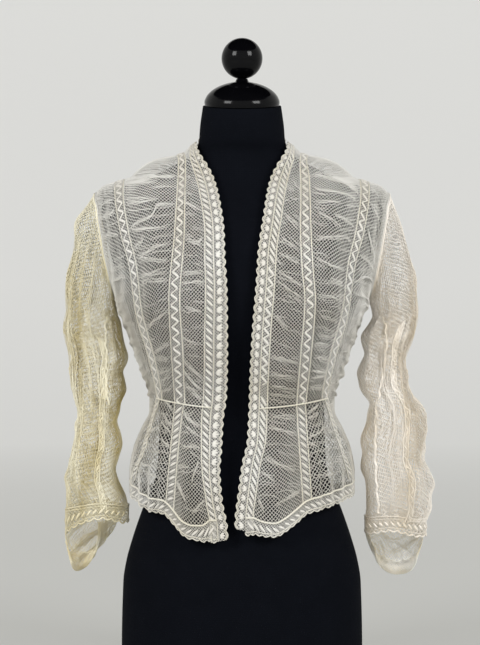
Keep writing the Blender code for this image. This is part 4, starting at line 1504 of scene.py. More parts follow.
SKIRT_INNER_FOLDS = {
    Side.LEFT: gathers(232, 342, 12, -10, 17) + creases(
        (2.4, (0.0, 327), (0.5, 334), (1.0, 346)), (2.2, (0.0, 315), (0.5, 323), (1.0, 334)),
        (2.4, (0.0, 298), (0.2, 302), (0.9, 302)), (1.8, (0.5, 277), (1.0, 279)),
        (1.8, (0.6, 233), (0.8, 248), (1.0, 261)), (2.0, (0.0, 238), (0.5, 220)),
        (1.6, (0.1, 285), (0.35, 266), (0.45, 256)),
    ),
    Side.RIGHT: gathers(236, 342, 14, 8, 18) + creases(
        (1.8, (0.05, 342), (0.95, 337)), (2.0, (0.05, 326), (0.95, 319)),
        (2.4, (0.05, 293), (0.5, 280), (0.95, 272)), (1.8, (0.05, 272), (0.4, 260)),
        (2.2, (0.4, 230), (0.98, 249)), (1.8, (0.05, 238), (0.2, 224)),
    ),
}
SKIRT_OUTER_FOLDS = {
    Side.LEFT: gathers(262, 350, 16, -8, 19) + creases(
        (2.4, (0.0, 348), (0.35, 359)), (2.2, (0.0, 328), (0.4, 343)),
        (2.0, (0.0, 319), (0.4, 333)), (2.0, (0.0, 301), (0.3, 311)), (2.0, (0.45, 326), (0.9, 305)),
    ),
    Side.RIGHT: gathers(262, 350, 16, -10, 20) + creases(
        (2.6, (0.0, 343), (0.4, 354)), (2.6, (0.0, 336), (0.4, 345)),
        (2.2, (0.0, 313), (0.3, 319), (0.45, 326)), (2.0, (0.0, 307), (0.25, 298)),
        (2.0, (0.5, 324), (0.95, 300)),
    ),
}


@dataclass
class Front:
    """One front of the cardigan, from the open edge to the side seam, bodice and peplum."""

    side: Side
    wardrobe: Wardrobe
    scallop_pitch: float = 11.6
    collar_rows: int = 25
    collar_rise: float = 8.0
    collar_pull: float = 0.07
    wave_count: int = 4
    wave_height: float = 4.0
    corner_lift: float = 1.4
    corner_points: int = 8
    side_band_half: float = 4.2
    side_band_span: tuple[float, float] = (0.06, 0.99)
    side_band_rows: int = 70
    side_band_columns: int = 7
    search_points: int = 200
    cord_points: int = 90
    cord_lift: float = 2.2

    def edge(self, z: Array) -> Array:
        """Distance of the free edge from the centre line."""
        return FRONT_EDGE[self.side].at("edge", z)

    def edging(self, z: Array) -> Array:
        """Distance of the seam between the edging and the rope band."""
        return self.edge(z) + FRONT_EDGE[self.side].at("edging", z)

    def rope(self, z: Array) -> Array:
        """Distance of the rope band's outer seam."""
        return self.edging(z) + FRONT_EDGE[self.side].at("rope", z)

    def build(self) -> None:
        """Make every piece of this front."""
        sign = self.side.sign
        lines = [joined(peplum_line(line, HEM_EDGING[self.side]), bodice_line(line))
                 for line in (self.edge, self.edging, self.rope)]
        self._edging(self._standing(fill_between(sign, lines[0], lines[1], BAND_COLUMNS)))
        self._rope(self._standing(fill_between(sign, lines[1], lines[2], BAND_COLUMNS)))
        inner, outer = ZIGZAG_INNER[self.side], ZIGZAG_OUTER
        seams = [bodice_line(lambda z, table=table, name=name: table.at(name, z))
                 for table in (inner, outer) for name in ("inner", "outer")]
        strip = fill_between(sign, bodice_line(self.rope), seams[0], STRIP_COLUMNS)
        strip = self._standing(strip, np.linspace(1, 0, STRIP_COLUMNS))
        self._net("front_net_strip", strip, STRIP_FOLDS, 1)
        self._zigzag("zigzag_band_inner", fill_between(sign, seams[0], seams[1], BAND_COLUMNS), 2)
        self._net("front_net_panel", fill_between(sign, seams[1], seams[2], PANEL_COLUMNS), PANEL_FOLDS, 3)
        self._zigzag("zigzag_band_outer", fill_between(sign, seams[2], seams[3], BAND_COLUMNS), 4)
        side_panel = fill_between(sign, seams[3], side_line(), PANEL_COLUMNS)
        self._net("side_net_panel", side_panel, SIDE_FOLDS, 5, side_seam=True)
        self._peplum()
        self._waist_cord()

    def _standing(self, grid: Array, hold: Array | float = 1.0) -> Array:
        """Lift the top of a front piece against the neck, eased as x^2 * (3 - 2 x) over its last rows.

        Args:
            grid: Points, rows by columns.
            hold: Share of the lift that each column takes.

        Returns:
            The lifted points.
        """
        share = np.clip(1 - np.arange(len(grid))[::-1] / self.collar_rows, 0, 1)
        lifted = grid.copy()
        eased = (share ** 2 * (3 - 2 * share))[:, None] * hold
        lifted[..., 2] += self.collar_rise * eased
        lifted[..., 0] *= 1 - self.collar_pull * eased
        return lifted

    def _seed(self, number: int) -> int:
        """A seed of this side's own."""
        return 100 * number + (1 if self.side is Side.LEFT else 2)

    def _lace(self, node: str, work: LaceWork) -> None:
        """Enter a band of lace."""
        work.enter(f"{node}_{self.side.value}", self.wardrobe.lace, "draped", ["form"])

    def _edging(self, grid: Array) -> None:
        """Scalloped edging with a bud in each scallop.

        Args:
            grid: Points of the edging, free edge first.
        """
        work = LaceWork.worn(grid, self._seed(6))
        edge = work.scallop(self.scallop_pitch, SCALLOP_DEPTH)
        work.ground(edge)
        work.line(BORDER_CORD, low_edge=edge)
        work.line(THIN_CORD, from_low=1.8, low_edge=edge)
        work.shells(self.scallop_pitch, root=0.82, tip=0.3)
        self._lace("front_edging", work)

    def _rope(self, grid: Array) -> None:
        """Band of slanted strokes between two cords; part of the right one swings as a zigzag.

        Args:
            grid: Points of the band.
        """
        work = LaceWork.worn(grid, self._seed(7))
        work.bordered()
        if self.side is Side.LEFT:
            work.strokes(pitch=9.0, lean=1, reach=0.34, rise=5.2)
        else:
            work.strokes(pitch=9.2, lean=-1, reach=0.34, rise=5.2, end=0.31)
            work.zigzag(period=12.5, share=0.33, lean=-1, start=0.33, end=0.6)
            work.strokes(pitch=9.0, lean=-1, reach=0.34, rise=5.2, start=0.6)
        self._lace("rope_band", work)

    def _zigzag(self, node: str, grid: Array, number: int) -> None:
        """Insertion with a zigzag between two cords.

        Args:
            node: CAD node without its side.
            grid: Points of the band.
            number: Number of the band, for its seed.
        """
        work = LaceWork.worn(grid, self._seed(number))
        work.bordered()
        work.zigzag(period=14.0, share=0.32, lean=-self.side.sign)
        self._lace(node, work)

    def _net(self, node: str, grid: Array, folds: dict[Side, Sequence[Crease]], number: int,
             side_seam: bool = False, side_band: bool = False, net: NetWeave = BODY_NET) -> None:
        """Gathered net with pinched folds across it.

        Args:
            node: CAD node without its side.
            grid: Unfolded points.
            folds: Folds of each side.
            number: Number of the panel, for its seed.
            side_seam: Whether a cord covers the seam at share 1.
            side_band: Whether the narrow side insertion lies on it.
            net: Weave of the panel.
        """
        cloth = FoldedCloth(grid, axis_of(grid), folds[self.side], grid[..., 2], sway=PANEL_SWAY)
        patch = cloth.patch()
        shape = Shape()
        net.weave(shape, NET_SLOT, patch, self._seed(number))
        cloth.bunch(shape, CORD_SLOT)
        if side_seam:
            SEAM_CORD.lay(shape, CORD_SLOT, patch, 1.0, spaced(SEAM_POINTS), 0.6)
        enter_cloth(shape, f"{node}_{self.side.value}", [self.wardrobe.net] * 2, Slot.NET, patch,
                    self._side_band(patch) if side_band else ())

    def _side_band(self, patch: Patch) -> list[Object]:
        """Narrow insertion on the outer peplum panel, from the waist towards the hem.

        Args:
            patch: The panel's cloth.

        Returns:
            Its ground and its raised work.
        """
        t = np.linspace(*self.side_band_span, self.side_band_rows)[:, None]
        shares = spaced(self.search_points)[None, :]
        points = patch.place(*np.broadcast_arrays(shares, t))[0]
        aim = PEPLUM_SIDE_BAND.at("offset", points[..., 2].mean(axis=1))
        offsets = np.maximum.accumulate(np.abs(points[..., 0]), axis=1)
        middle = np.array([np.interp(aim[row], offsets[row], shares[0]) for row in range(len(t))])[:, None]
        half = self.side_band_half / patch.width(t)
        s = middle + half * np.linspace(-1, 1, self.side_band_columns)[None, :]
        strip, normals = patch.place(*np.broadcast_arrays(s, t))
        work = LaceWork(Patch(strip + normals * LACE_LIFT, axis_of(strip)), self._seed(12))
        work.bordered()
        work.strokes(pitch=8.0, lean=-1, reach=0.3, rise=4.0)
        finishes = self.wardrobe.lace
        name = f"peplum_side_band_{self.side.value}"
        pieces = [work.shape.to_object(f"{name}_ground", [finishes.ground]),
                  work.raised.to_object(f"{name}_work", [finishes.cord, finishes.motif])]
        for piece, slot in zip(pieces, (Slot.LACE, Slot.CORD)):
            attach(piece, "root")
        return pieces

    def _peplum(self) -> None:
        """Two gathered panels, the stroke band between them and the hem band under all three."""
        sign = self.side.sign
        table = PEPLUM_BAND[self.side]
        hem = HEM_FRONT[self.side]
        seams = [self.rope, lambda z: table.at("inner", z), lambda z: table.at("outer", z), side_limit]
        inner, middle, outer = (peplum_grid(sign, seams[k], seams[k + 1], hem, columns)
                                for k, columns in enumerate(PEPLUM_COLUMNS))
        height = waves(outer, self.wave_count, self.wave_height)
        outer = outer + Patch(outer, axis_of(outer), even=False).normal * height[..., None]
        self._net("peplum_inner", inner, SKIRT_INNER_FOLDS, 8)
        work = LaceWork.worn(middle, self._seed(9))
        work.bordered()
        work.strokes(pitch=9.0, lean=-1, reach=0.34, rise=5.0)
        self._lace("peplum_band", work)
        self._net("peplum_outer", outer, SKIRT_OUTER_FOLDS, 10, side_band=True, net=SLEEVE_NET)
        corner_z = np.full(self.corner_points, inner[0, 0, 2])
        offset = np.linspace(self.edging(corner_z[0]), self.rope(corner_z[0]), self.corner_points)
        corner = worn_point(sign, turn_of(offset, corner_z), corner_z)
        corner = corner + unit(corner - axis_of(corner)) * self.corner_lift
        lower = np.concatenate([corner[:-1], inner[0], middle[0, 1:], outer[0, 1:]])
        hem_work(f"hem_band_{self.side.value}", lower, self.wardrobe, self._seed(11),
                 HEM_CORNER_DROP[self.side])

    def _waist_cord(self) -> None:
        """Twisted cord over the waist seam."""
        start = float(self.edging(np.array(WAIST_FRONT_Z)))
        end = float(ZIGZAG_OUTER.at("outer", WAIST_FRONT_Z))
        offset = np.linspace(start, end, self.cord_points)
        z = waist_height(offset)
        path = worn_point(self.side.sign, turn_of(offset, z), z)
        normal = unit(path - axis_of(path))
        shape = Shape()
        share = spaced(self.cord_points)
        WAIST_CORD.sweep(shape, NET_SLOT, (path + normal * self.cord_lift)[None], normal[None],
                         np.stack([share, share], axis=-1)[None])
        enter(shape.to_object(f"waist_cord_{self.side.value}_cotton", [self.wardrobe.lace.cord]), Slot.CORD,
              f"waist_cord_{self.side.value}")


HEM_CORNER_DROP = {Side.LEFT: 11.0, Side.RIGHT: 5.0}
HEM_CORNER_REACH = 20.0
PLEAT_LENGTH = 7.0
PLEAT_HEIGHT = 2.2


def hem_work(node: str, lower: Array, wardrobe: Wardrobe, seed: int, corner_drop: float) -> None:
    """Scalloped lace hanging from the lower edge of the peplum, pleated and deeper at its first corner.

    Args:
        node: CAD node it replaces.
        lower: Lower edge of the net above it.
        wardrobe: The materials.
        seed: Seed of the ground.
        corner_drop: How much deeper the band hangs at its start, millimetres.
    """
    away = unit(lower - axis_of(lower))
    step = np.linalg.norm(np.diff(lower, axis=0), axis=-1)
    reach = np.concatenate([[0], np.cumsum(step)])
    corner = np.exp(-(reach / HEM_CORNER_REACH) ** 2) * (corner_drop > 0)
    depth = HEM_BAND_DROP + SCALLOP_DEPTH + corner_drop * corner
    down = 1 - spaced(BAND_COLUMNS)
    grid = lower[:, None] - (depth[:, None] * down[None, :])[..., None] * UP
    pleats = PLEAT_HEIGHT * corner * np.sin(2 * np.pi * reach / PLEAT_LENGTH) + 0.6 * np.sin(reach / 5)
    grid = grid + away[:, None] * (pleats[:, None] * down[None, :])[..., None]
    work = LaceWork.worn(grid, seed)
    edge = work.scallop(pitch=9.5, depth=SCALLOP_DEPTH)
    work.ground(edge)
    work.line(BORDER_CORD, low_edge=edge)
    work.line(BORDER_CORD, from_low=4.6)
    work.line(SEAM_CORD, from_high=0.7)
    work.strokes(pitch=8.4, lean=-1, reach=0.2, rise=5.4)
    work.enter(node, wardrobe.lace, "hung", ["peplum"])


# Sleeves: rings fan out from the armhole, then hang level
ARM_GAP = 1.8
RING_POINTS = 132
CAP_ROWS = 40
LEVEL_ROWS = 130
RING_STEPS = 14
BEND_SHARE = np.array([0.9, 0.5, 0.5])
CUFF_BAND_DROP = 13.0
CUFF_FLARE = 0.3
CUFF_LAP = 9.0
CUFF_LAP_FLARE = 0.6
CUFF_TILT = {Side.LEFT: 1.5, Side.RIGHT: -1.0}
CUFF_SAG = 3.6
CUFF_OUTER_FALL = {Side.LEFT: 20.0, Side.RIGHT: 3.0}
SLEEVE_BAND_TURN = {Side.LEFT: 0.20, Side.RIGHT: 0.31}


@dataclass(frozen=True)
class DropTip:
    """Lowest point of a cuff drop and how the drop closes towards it.

    Attributes:
        z: Height of the tip.
        offset: Distance of the tip from the garment's middle.
        narrowing: Share of the width lost at the tip.
        place: Where the longest line lies, -1 at the outer side and 1 at the inner side.
        shortening: Share of the length lost at the far side.
    """

    z: float
    offset: float
    narrowing: float
    place: float
    shortening: float


CUFF_TIP = {
    Side.LEFT: DropTip(z=135.0, offset=203.0, narrowing=0.55, place=-0.4, shortening=0.8),
    Side.RIGHT: DropTip(z=130.0, offset=199.0, narrowing=0.3, place=-0.1, shortening=0.5),
}
CUFF_INSET = 1.5
RIM_START = 0.74
RIM_LIFT = 0.9
# Height, degrees round, rise, reach along and breadth in degrees of each puff
PUFFS = {
    Side.LEFT: (
        (592, 180, 21.0, 22, 55), (553, 180, -4.0, 8, 45), (476, 175, -6.0, 16, 50),
        (440, 185, -1.5, 14, 40), (343, 180, -3.0, 14, 45),
        (300, 185, -2.0, 14, 40), (253, 180, 2.0, 18, 45), (460, 0, 2.5, 10, 45), (413, 5, 4.0, 12, 45),
        (395, 0, -2.5, 7, 40), (370, 355, 3.5, 10, 45), (331, 0, -4.0, 10, 45), (300, 5, 3.5, 12, 45),
        (269, 0, -2.5, 9, 40), (520, 110, 3.0, 20, 30), (420, 80, 3.0, 16, 28), (350, 120, 3.5, 18, 28),
        (270, 70, 3.0, 14, 26), (500, 260, 4.0, 20, 32), (390, 280, 3.5, 18, 30), (290, 240, 4.0, 18, 30),
    ),
    Side.RIGHT: (
        (514, 180, 3.5, 16, 45), (450, 180, -1.5, 12, 40), (413, 180, -5.0, 16, 45), (335, 180, 4.0, 16, 45),
        (284, 180, -3.0, 10, 40), (253, 180, 5.0, 13, 45), (440, 0, 5.0, 11, 45), (417, 0, -3.0, 7, 40),
        (393, 5, 5.0, 12, 45), (354, 0, -4.0, 9, 45), (312, 355, 5.0, 13, 45), (290, 0, -2.0, 7, 40),
        (268, 0, 3.5, 10, 45), (500, 100, 3.0, 18, 30), (430, 70, 3.5, 15, 28), (380, 120, 3.0, 14, 28),
        (300, 75, 3.5, 16, 26), (480, 280, 4.0, 20, 32), (400, 250, 3.5, 18, 30), (280, 290, 4.0, 18, 30),
    ),
}
SLEEVE_FOLDS = {
    Side.LEFT: (
        Crease(3.0, (0.02, 58), (0.3, 50), (0.6, 65), (0.8, 61), spread=9, strands=5),
        Crease(3.6, (0.0, 79), (0.3, 97), (0.62, 79), spread=8, strands=6),
        Crease(3.0, (0.0, 112), (0.35, 108), (0.7, 97), spread=7, strands=4),
        Crease(2.6, (0.4, 119), (0.7, 126), (1.0, 115), spread=7, strands=5),
        Crease(3.4, (0.02, 133), (0.4, 144), (0.9, 137), spread=9, strands=6),
        Crease(3.0, (0.0, 158), (0.3, 166), (0.55, 158), spread=8, strands=4),
        Crease(3.0, (0.0, 216), (0.5, 230), (1.0, 223), spread=9, strands=3),
        Crease(3.4, (0.0, 281), (0.5, 270), (1.0, 277), spread=9, strands=3),
        Crease(2.8, (0.1, 317), (0.4, 324), (0.8, 313), spread=8, strands=3),
    ),
    Side.RIGHT: (
        Crease(2.6, (0.0, 50), (0.4, 43), (0.7, 54), spread=8, strands=4),
        Crease(3.2, (0.1, 72), (0.5, 86), (1.0, 76), spread=9, strands=6),
        Crease(3.0, (0.3, 130), (0.6, 122), (1.0, 130), spread=8, strands=5),
        Crease(3.4, (0.0, 144), (0.3, 155), (0.55, 148), spread=9, strands=6),
        Crease(2.4, (0.5, 101), (0.75, 97), (1.0, 104), spread=7, strands=4),
        Crease(3.0, (0.0, 223), (0.5, 209), (1.0, 216), spread=9, strands=3),
        Crease(3.2, (0.0, 259), (0.5, 274), (1.0, 266), spread=8, strands=3),
        Crease(2.8, (0.1, 317), (0.5, 310), (0.9, 317), spread=9, strands=3),
    ),
}


SLEEVE_RUFFLE = {
    Side.LEFT: Table("z offset", (352, 172), (374, 174), (409, 174), (452, 176), (492, 170)),
    Side.RIGHT: Table("z offset", (213, 175), (291, 171), (346, 173), (432, 184), (471, 182)),
}
DROP_FOLDS = {
    Side.LEFT: (
        Crease(1.8, (0.02, 95), (0.5, 96), (0.98, 95), spread=3.0, strands=16),
        Crease(4.5, (0.06, 88), (0.3, 66), (0.6, 40), (0.96, 12), spread=5.0, strands=9),
        Crease(4.0, (0.2, 92), (0.45, 78), (0.75, 62), (0.96, 48), spread=4.5, strands=8),
        Crease(-4.0, (0.1, 72), (0.4, 46), (0.8, 20), spread=5.0, strands=3),
        Crease(3.5, (0.04, 62), (0.22, 38), (0.45, 12), spread=5.0, strands=7),
        Crease(3.0, (0.5, 90), (0.7, 76), (0.9, 72), spread=4.0, strands=6),
    ),
    Side.RIGHT: (
        Crease(1.8, (0.02, 95), (0.5, 96), (0.98, 95), spread=3.0, strands=16),
        Crease(4.5, (0.78, 90), (0.86, 50), (0.94, 6), spread=6.0, strands=8),
        Crease(4.5, (0.05, 14), (0.3, 42), (0.56, 64), spread=5.0, strands=9),
        Crease(-4.0, (0.2, 14), (0.45, 34), (0.7, 26), spread=6.0, strands=3),
        Crease(3.5, (0.08, 62), (0.34, 80), (0.74, 84), spread=4.5, strands=8),
        Crease(3.0, (0.1, 84), (0.3, 62), (0.5, 40), spread=4.0, strands=5),
    ),
}


@dataclass
class Sleeve:
    """One sleeve with its band, cuff and the loose drop behind the cuff."""

    side: Side
    wardrobe: Wardrobe
    ripple_count: int = 5
    ripple_share: float = 0.05
    flattening: float = 0.25
    gather_count: int = 83
    ruffle_points: int = 110
    band_span: tuple[float, float] = (0.32, 0.995)
    band_rows: int = 150
    band_half: float = 5.0
    drop_rows: int = 50
    behind: float = 50.0

    def grid(self) -> Array:
        """Outer face: quadratic curves from the armhole to the first level ring, then level rings.

        Returns:
            Points, rings by places round the arm; the first and last place meet under the arm.
        """
        sign = self.side.sign
        turn = np.linspace(0, 2 * np.pi, RING_POINTS)
        climb = 1 - np.abs(turn / np.pi - 1)
        z = UNDERARM_Z + (SHOULDER_TIP_Z - UNDERARM_Z) * (1 - (1 - climb) ** RIDGE_CROWDING)
        angle = turn_of(side_limit(z), z)
        front, behind = (worn_point(sign, angle, z, back=back) for back in (False, True))
        seam = np.where((turn <= np.pi)[:, None], front, behind)
        seam[:, 0] += sign * ARM_GAP
        table = SLEEVES[self.side]
        heights = table.columns["z"]
        share = spaced(LEVEL_ROWS)[:, None]
        level_z = heights[-1] + (heights[0] - heights[-1]) * share
        step = RING_STEPS * share
        lag = 1.7 * np.sin(0.55 * step) + 0.23 * step
        ripple = 1 + self.ripple_share * np.cos(self.ripple_count * turn + lag) * np.abs(np.sin(turn))
        x = sign * (table.at("middle", level_z) - table.at("half_width", level_z) * np.cos(turn))
        y = -table.at("forward", level_z) - table.at("half_depth", level_z) * np.sin(turn) * ripple
        level = points_of(x, y, level_z)
        bend = seam + (level[0] - seam) * BEND_SHARE
        t = spaced(CAP_ROWS)[:-1, None, None]
        cap = (1 - t) ** 2 * seam + 2 * t * (1 - t) * bend + t ** 2 * level[0]
        grid = np.concatenate([cap, level])
        return grid + self._puffed(grid, np.degrees(turn))

    def _puffed(self, grid: Array, degrees: Array) -> Array:
        """Listed puffs and hollows: height * exp(-(dz / reach) ** 2 - (turn / breadth) ** 2), outward.

        Args:
            grid: Points, rings by places round.
            degrees: Angle of each place round, 0 towards the body, 90 in front.

        Returns:
            Steps to add to the points.
        """
        outward = unit((grid - grid.mean(axis=1, keepdims=True)) * LEVEL_PART)
        height = np.zeros(grid.shape[:2])
        for z, place, rise, reach, breadth in PUFFS[self.side]:
            apart = (degrees - place + 180) % 360 - 180
            height += rise * np.exp(-((grid[..., 2] - z) / reach) ** 2 - (apart / breadth) ** 2)
        ends = np.clip((grid[..., 2] - grid[-1, 0, 2]) / 15, 0, 1)
        ends[:CAP_ROWS] *= np.sqrt(spaced(CAP_ROWS))[:, None]
        return outward * (height * ends)[..., None]

    def build(self) -> None:
        """Make the sleeve, its band, the cuff band and the drop."""
        grid = self.grid()
        middle = grid.mean(axis=1, keepdims=True)
        across = grid.swapaxes(0, 1)
        axis = np.broadcast_to(middle, grid.shape).swapaxes(0, 1)
        level = np.broadcast_to(np.linspace(0, 360, RING_POINTS)[:, None], across.shape[:2])
        cloth = FoldedCloth(across, axis, SLEEVE_FOLDS[self.side], level, sway=2.0, crumple=1.8)
        patch = cloth.patch()
        shape = Shape()
        SLEEVE_NET.weave(shape, NET_SLOT, patch, 31 if self.side is Side.LEFT else 32)
        cloth.bunch(shape, NET_SLOT)
        self._seams(shape, patch)
        self._ruffle(shape, cloth.base)
        side = self.side.value
        net = self.wardrobe.sleeves[self.side]
        enter_cloth(shape, f"sleeve_{side}", [net, net], Slot.NET, patch)
        self._band(patch)
        cuff = self._cuff(grid)
        self._drop(cuff)

    def _seams(self, shape: Shape, patch: Patch) -> None:
        """Gathered armhole seam and the raised seam down the inner side.

        Args:
            shape: Mesh that takes the seams.
            patch: The sleeve's cloth.
        """
        around = spaced(260)
        SEAM_CORD.lay(shape, CORD_SLOT, patch, 0.002, around, 0.4)
        BORDER_CORD.lay(shape, CORD_SLOT, patch, spaced(200), 0.004, 0.5)
        chance = np.random.default_rng(5)
        count = self.gather_count
        tucks = spaced(count + 1)[:-1, None] + chance.normal(0, 0.002, (count, 1))
        reach = chance.uniform(0.025, 0.07, (count, 1))
        sweep = spaced(LEAF_POINTS)[None, :]
        THIN_CORD.lay(shape, CORD_SLOT, patch, reach * sweep, tucks + 0.004 * np.sin(3 * sweep), 0.7,
                      1.4 - 0.9 * sweep)

    def _ruffle(self, shape: Shape, base: Patch) -> None:
        """Raised puckered seam down the front of the sleeve, through given points.

        Args:
            shape: Mesh that takes the seam.
            base: Unfolded cloth, places round by rings.
        """
        grid = base.grid
        path = SLEEVE_RUFFLE[self.side]
        rings = spaced(grid.shape[1])
        front = slice(0, RING_POINTS // 2)
        z = np.linspace(path.columns["z"][-1], path.columns["z"][0], self.ruffle_points)
        down = np.interp(-z, -grid[0, CAP_ROWS:, 2], rings[CAP_ROWS:])
        offset = path.at("offset", z) + 1.1 * np.sin(z / 2.6) * np.sin(z / 9.3)
        rows = np.rint(down * (grid.shape[1] - 1)).astype(int)
        around = np.array([np.interp(offset[k], np.maximum.accumulate(np.abs(grid[front, row, 0])),
                                     np.linspace(0, 0.5, RING_POINTS // 2)) for k, row in enumerate(rows)])
        points, normals = base.place(down[None], around[None])
        lumps = 0.52 + 0.24 * np.sin(z / 2.3) * np.sin(z / 7.1)
        flat = np.stack([down, around], axis=-1)[None]
        for lift, side in ((2.4, 0.0), (1.9, 1.1)):
            raised = points + normals * lift + np.array([side, 0.0, 0.0])
            SEAM_CORD.sweep(shape, CORD_SLOT, raised, normals, flat, lumps[None])

    def _band(self, patch: Patch) -> None:
        """Insertion down the sleeve.

        Args:
            patch: The sleeve's cloth.
        """
        down = np.linspace(*self.band_span, self.band_rows)[:, None]
        half = self.band_half / patch.length
        around = SLEEVE_BAND_TURN[self.side] + np.linspace(-half, half, BAND_COLUMNS)[None, :]
        down, around = np.broadcast_arrays(down, around)
        points, normals = patch.place(down, around)
        strip = points + normals * LACE_LIFT
        work = LaceWork(Patch(strip, points - normals * self.behind), 41)
        work.bordered()
        work.zigzag(period=13.0, share=0.26, lean=1, size=0.6)
        work.enter(f"sleeve_band_{self.side.value}", self.wardrobe.sleeve_lace[self.side], "hung",
                   ["sleeve"])

    def _cuff(self, grid: Array) -> Array:
        """Scalloped band round the wrist.

        Args:
            grid: The sleeve's rings.

        Returns:
            The ring just inside the sleeve's end, where the drop begins.
        """
        last = grid[-1]
        away = unit((last - last.mean(axis=0)) * LEVEL_PART)
        share = np.linspace(1, 0, BAND_COLUMNS)
        flare = CUFF_FLARE + CUFF_LAP_FLARE * (1 - share)
        drop = (CUFF_BAND_DROP + CUFF_LAP) * share - CUFF_LAP
        turn = np.linspace(0, 2 * np.pi, len(last))
        askew = CUFF_TILT[self.side] * np.cos(turn) + CUFF_SAG * np.sin(3 * turn + 0.6) * np.sin(turn)
        fall = CUFF_OUTER_FALL[self.side] * np.exp(-((turn - np.pi) / 0.75) ** 2)
        drop = drop[None, :] + askew[:, None] * (0.6 + 0.4 * share) + fall[:, None] * (0.4 + 0.6 * share)
        ring = last[:, None] + away[:, None] * flare[None, :, None] - drop[..., None] * UP
        work = LaceWork(Patch(ring, np.broadcast_to(last.mean(axis=0), ring.shape)), 43)
        edge = work.scallop(pitch=11.0, depth=3.2)
        work.ground(edge, DROP_NET)
        work.line(RIM_CORD, low_edge=edge)
        work.line(THIN_CORD, from_low=5.2)
        work.line(THIN_CORD, from_high=4.2)
        work.line(BORDER_CORD, from_high=BORDER_INSET)
        work.strokes(pitch=8.0, lean=-1, reach=0.14, rise=2.8)
        work.enter(f"cuff_band_{self.side.value}", self.wardrobe.sleeve_lace[self.side], "hung",
                   ["sleeve"])
        return last - away * CUFF_INSET

    def _drop(self, cuff: Array) -> None:
        """Loose pointed end of the sleeve that hangs behind the cuff.

        Args:
            cuff: The ring just inside the sleeve's end.
        """
        tip = CUFF_TIP[self.side]
        top = cuff[len(cuff) // 2:]
        rows = spaced(self.drop_rows)[:, None]
        across = np.linspace(-1, 1, len(top))[None, :]
        centre = top[:, 0].mean()
        lean = (self.side.sign * tip.offset - centre) * rows
        x = centre + lean + (top[:, 0] - centre) * (1 - tip.narrowing * rows ** 2)
        y = top[:, 1] * (1 - self.flattening * rows) + 1.5 * np.sin(9 * across + 3 * rows) * rows
        short = tip.shortening * ((across - tip.place) / (1 + abs(tip.place))) ** 2
        z = top[:, 2] + (tip.z - top[:, 2]) * rows * (1 - short)
        grid = points_of(x, y, z)
        behind = grid - np.array([0.0, self.behind, 0.0])
        level = np.broadcast_to(100 * rows, grid.shape[:2])
        cloth = FoldedCloth(grid, behind, DROP_FOLDS[self.side], level, crumple=2.4)
        patch = cloth.patch()
        shape = Shape()
        DROP_NET.weave(shape, NET_SLOT, patch, 51)
        cloth.bunch(shape, CORD_SLOT)
        share = spaced(120)
        BORDER_CORD.lay(shape, CORD_SLOT, patch, share, 0.995, 0.3)
        BORDER_CORD.lay(shape, CORD_SLOT, patch, share, RIM_START + 0.02 * np.sin(17 * share), -RIM_LIFT)
        points, normals = patch.place(share[::2, None], np.linspace(RIM_START, 1, BAND_COLUMNS)[None, :])
        rim = Patch(points - normals * RIM_LIFT, points + normals * self.behind)
        LACE_GROUND.weave(shape, NET_SLOT, rim, 52)
        net = self.wardrobe.drops[self.side]
        enter_cloth(shape, f"cuff_drop_{self.side.value}", [net, net], Slot.NET, patch)


BACK_FOLDS = (
    Crease(1.8, (0.02, 376), (0.28, 392), (0.46, 384), strands=3),
    Crease(2.0, (0.38, 402), (0.7, 386), (0.98, 396)),
    Crease(1.6, (0.04, 428), (0.3, 414), (0.44, 421), strands=3),
    Crease(1.9, (0.55, 432), (0.8, 452), (0.97, 441)),
    Crease(1.4, (0.12, 492), (0.36, 470), (0.52, 478), strands=2),
    Crease(1.5, (0.6, 531), (0.78, 508), (0.96, 516)),
    Crease(1.3, (0.05, 566), (0.2, 548), (0.34, 556), strands=2),
    Crease(1.4, (0.5, 612), (0.72, 590), (0.92, 603)),
)


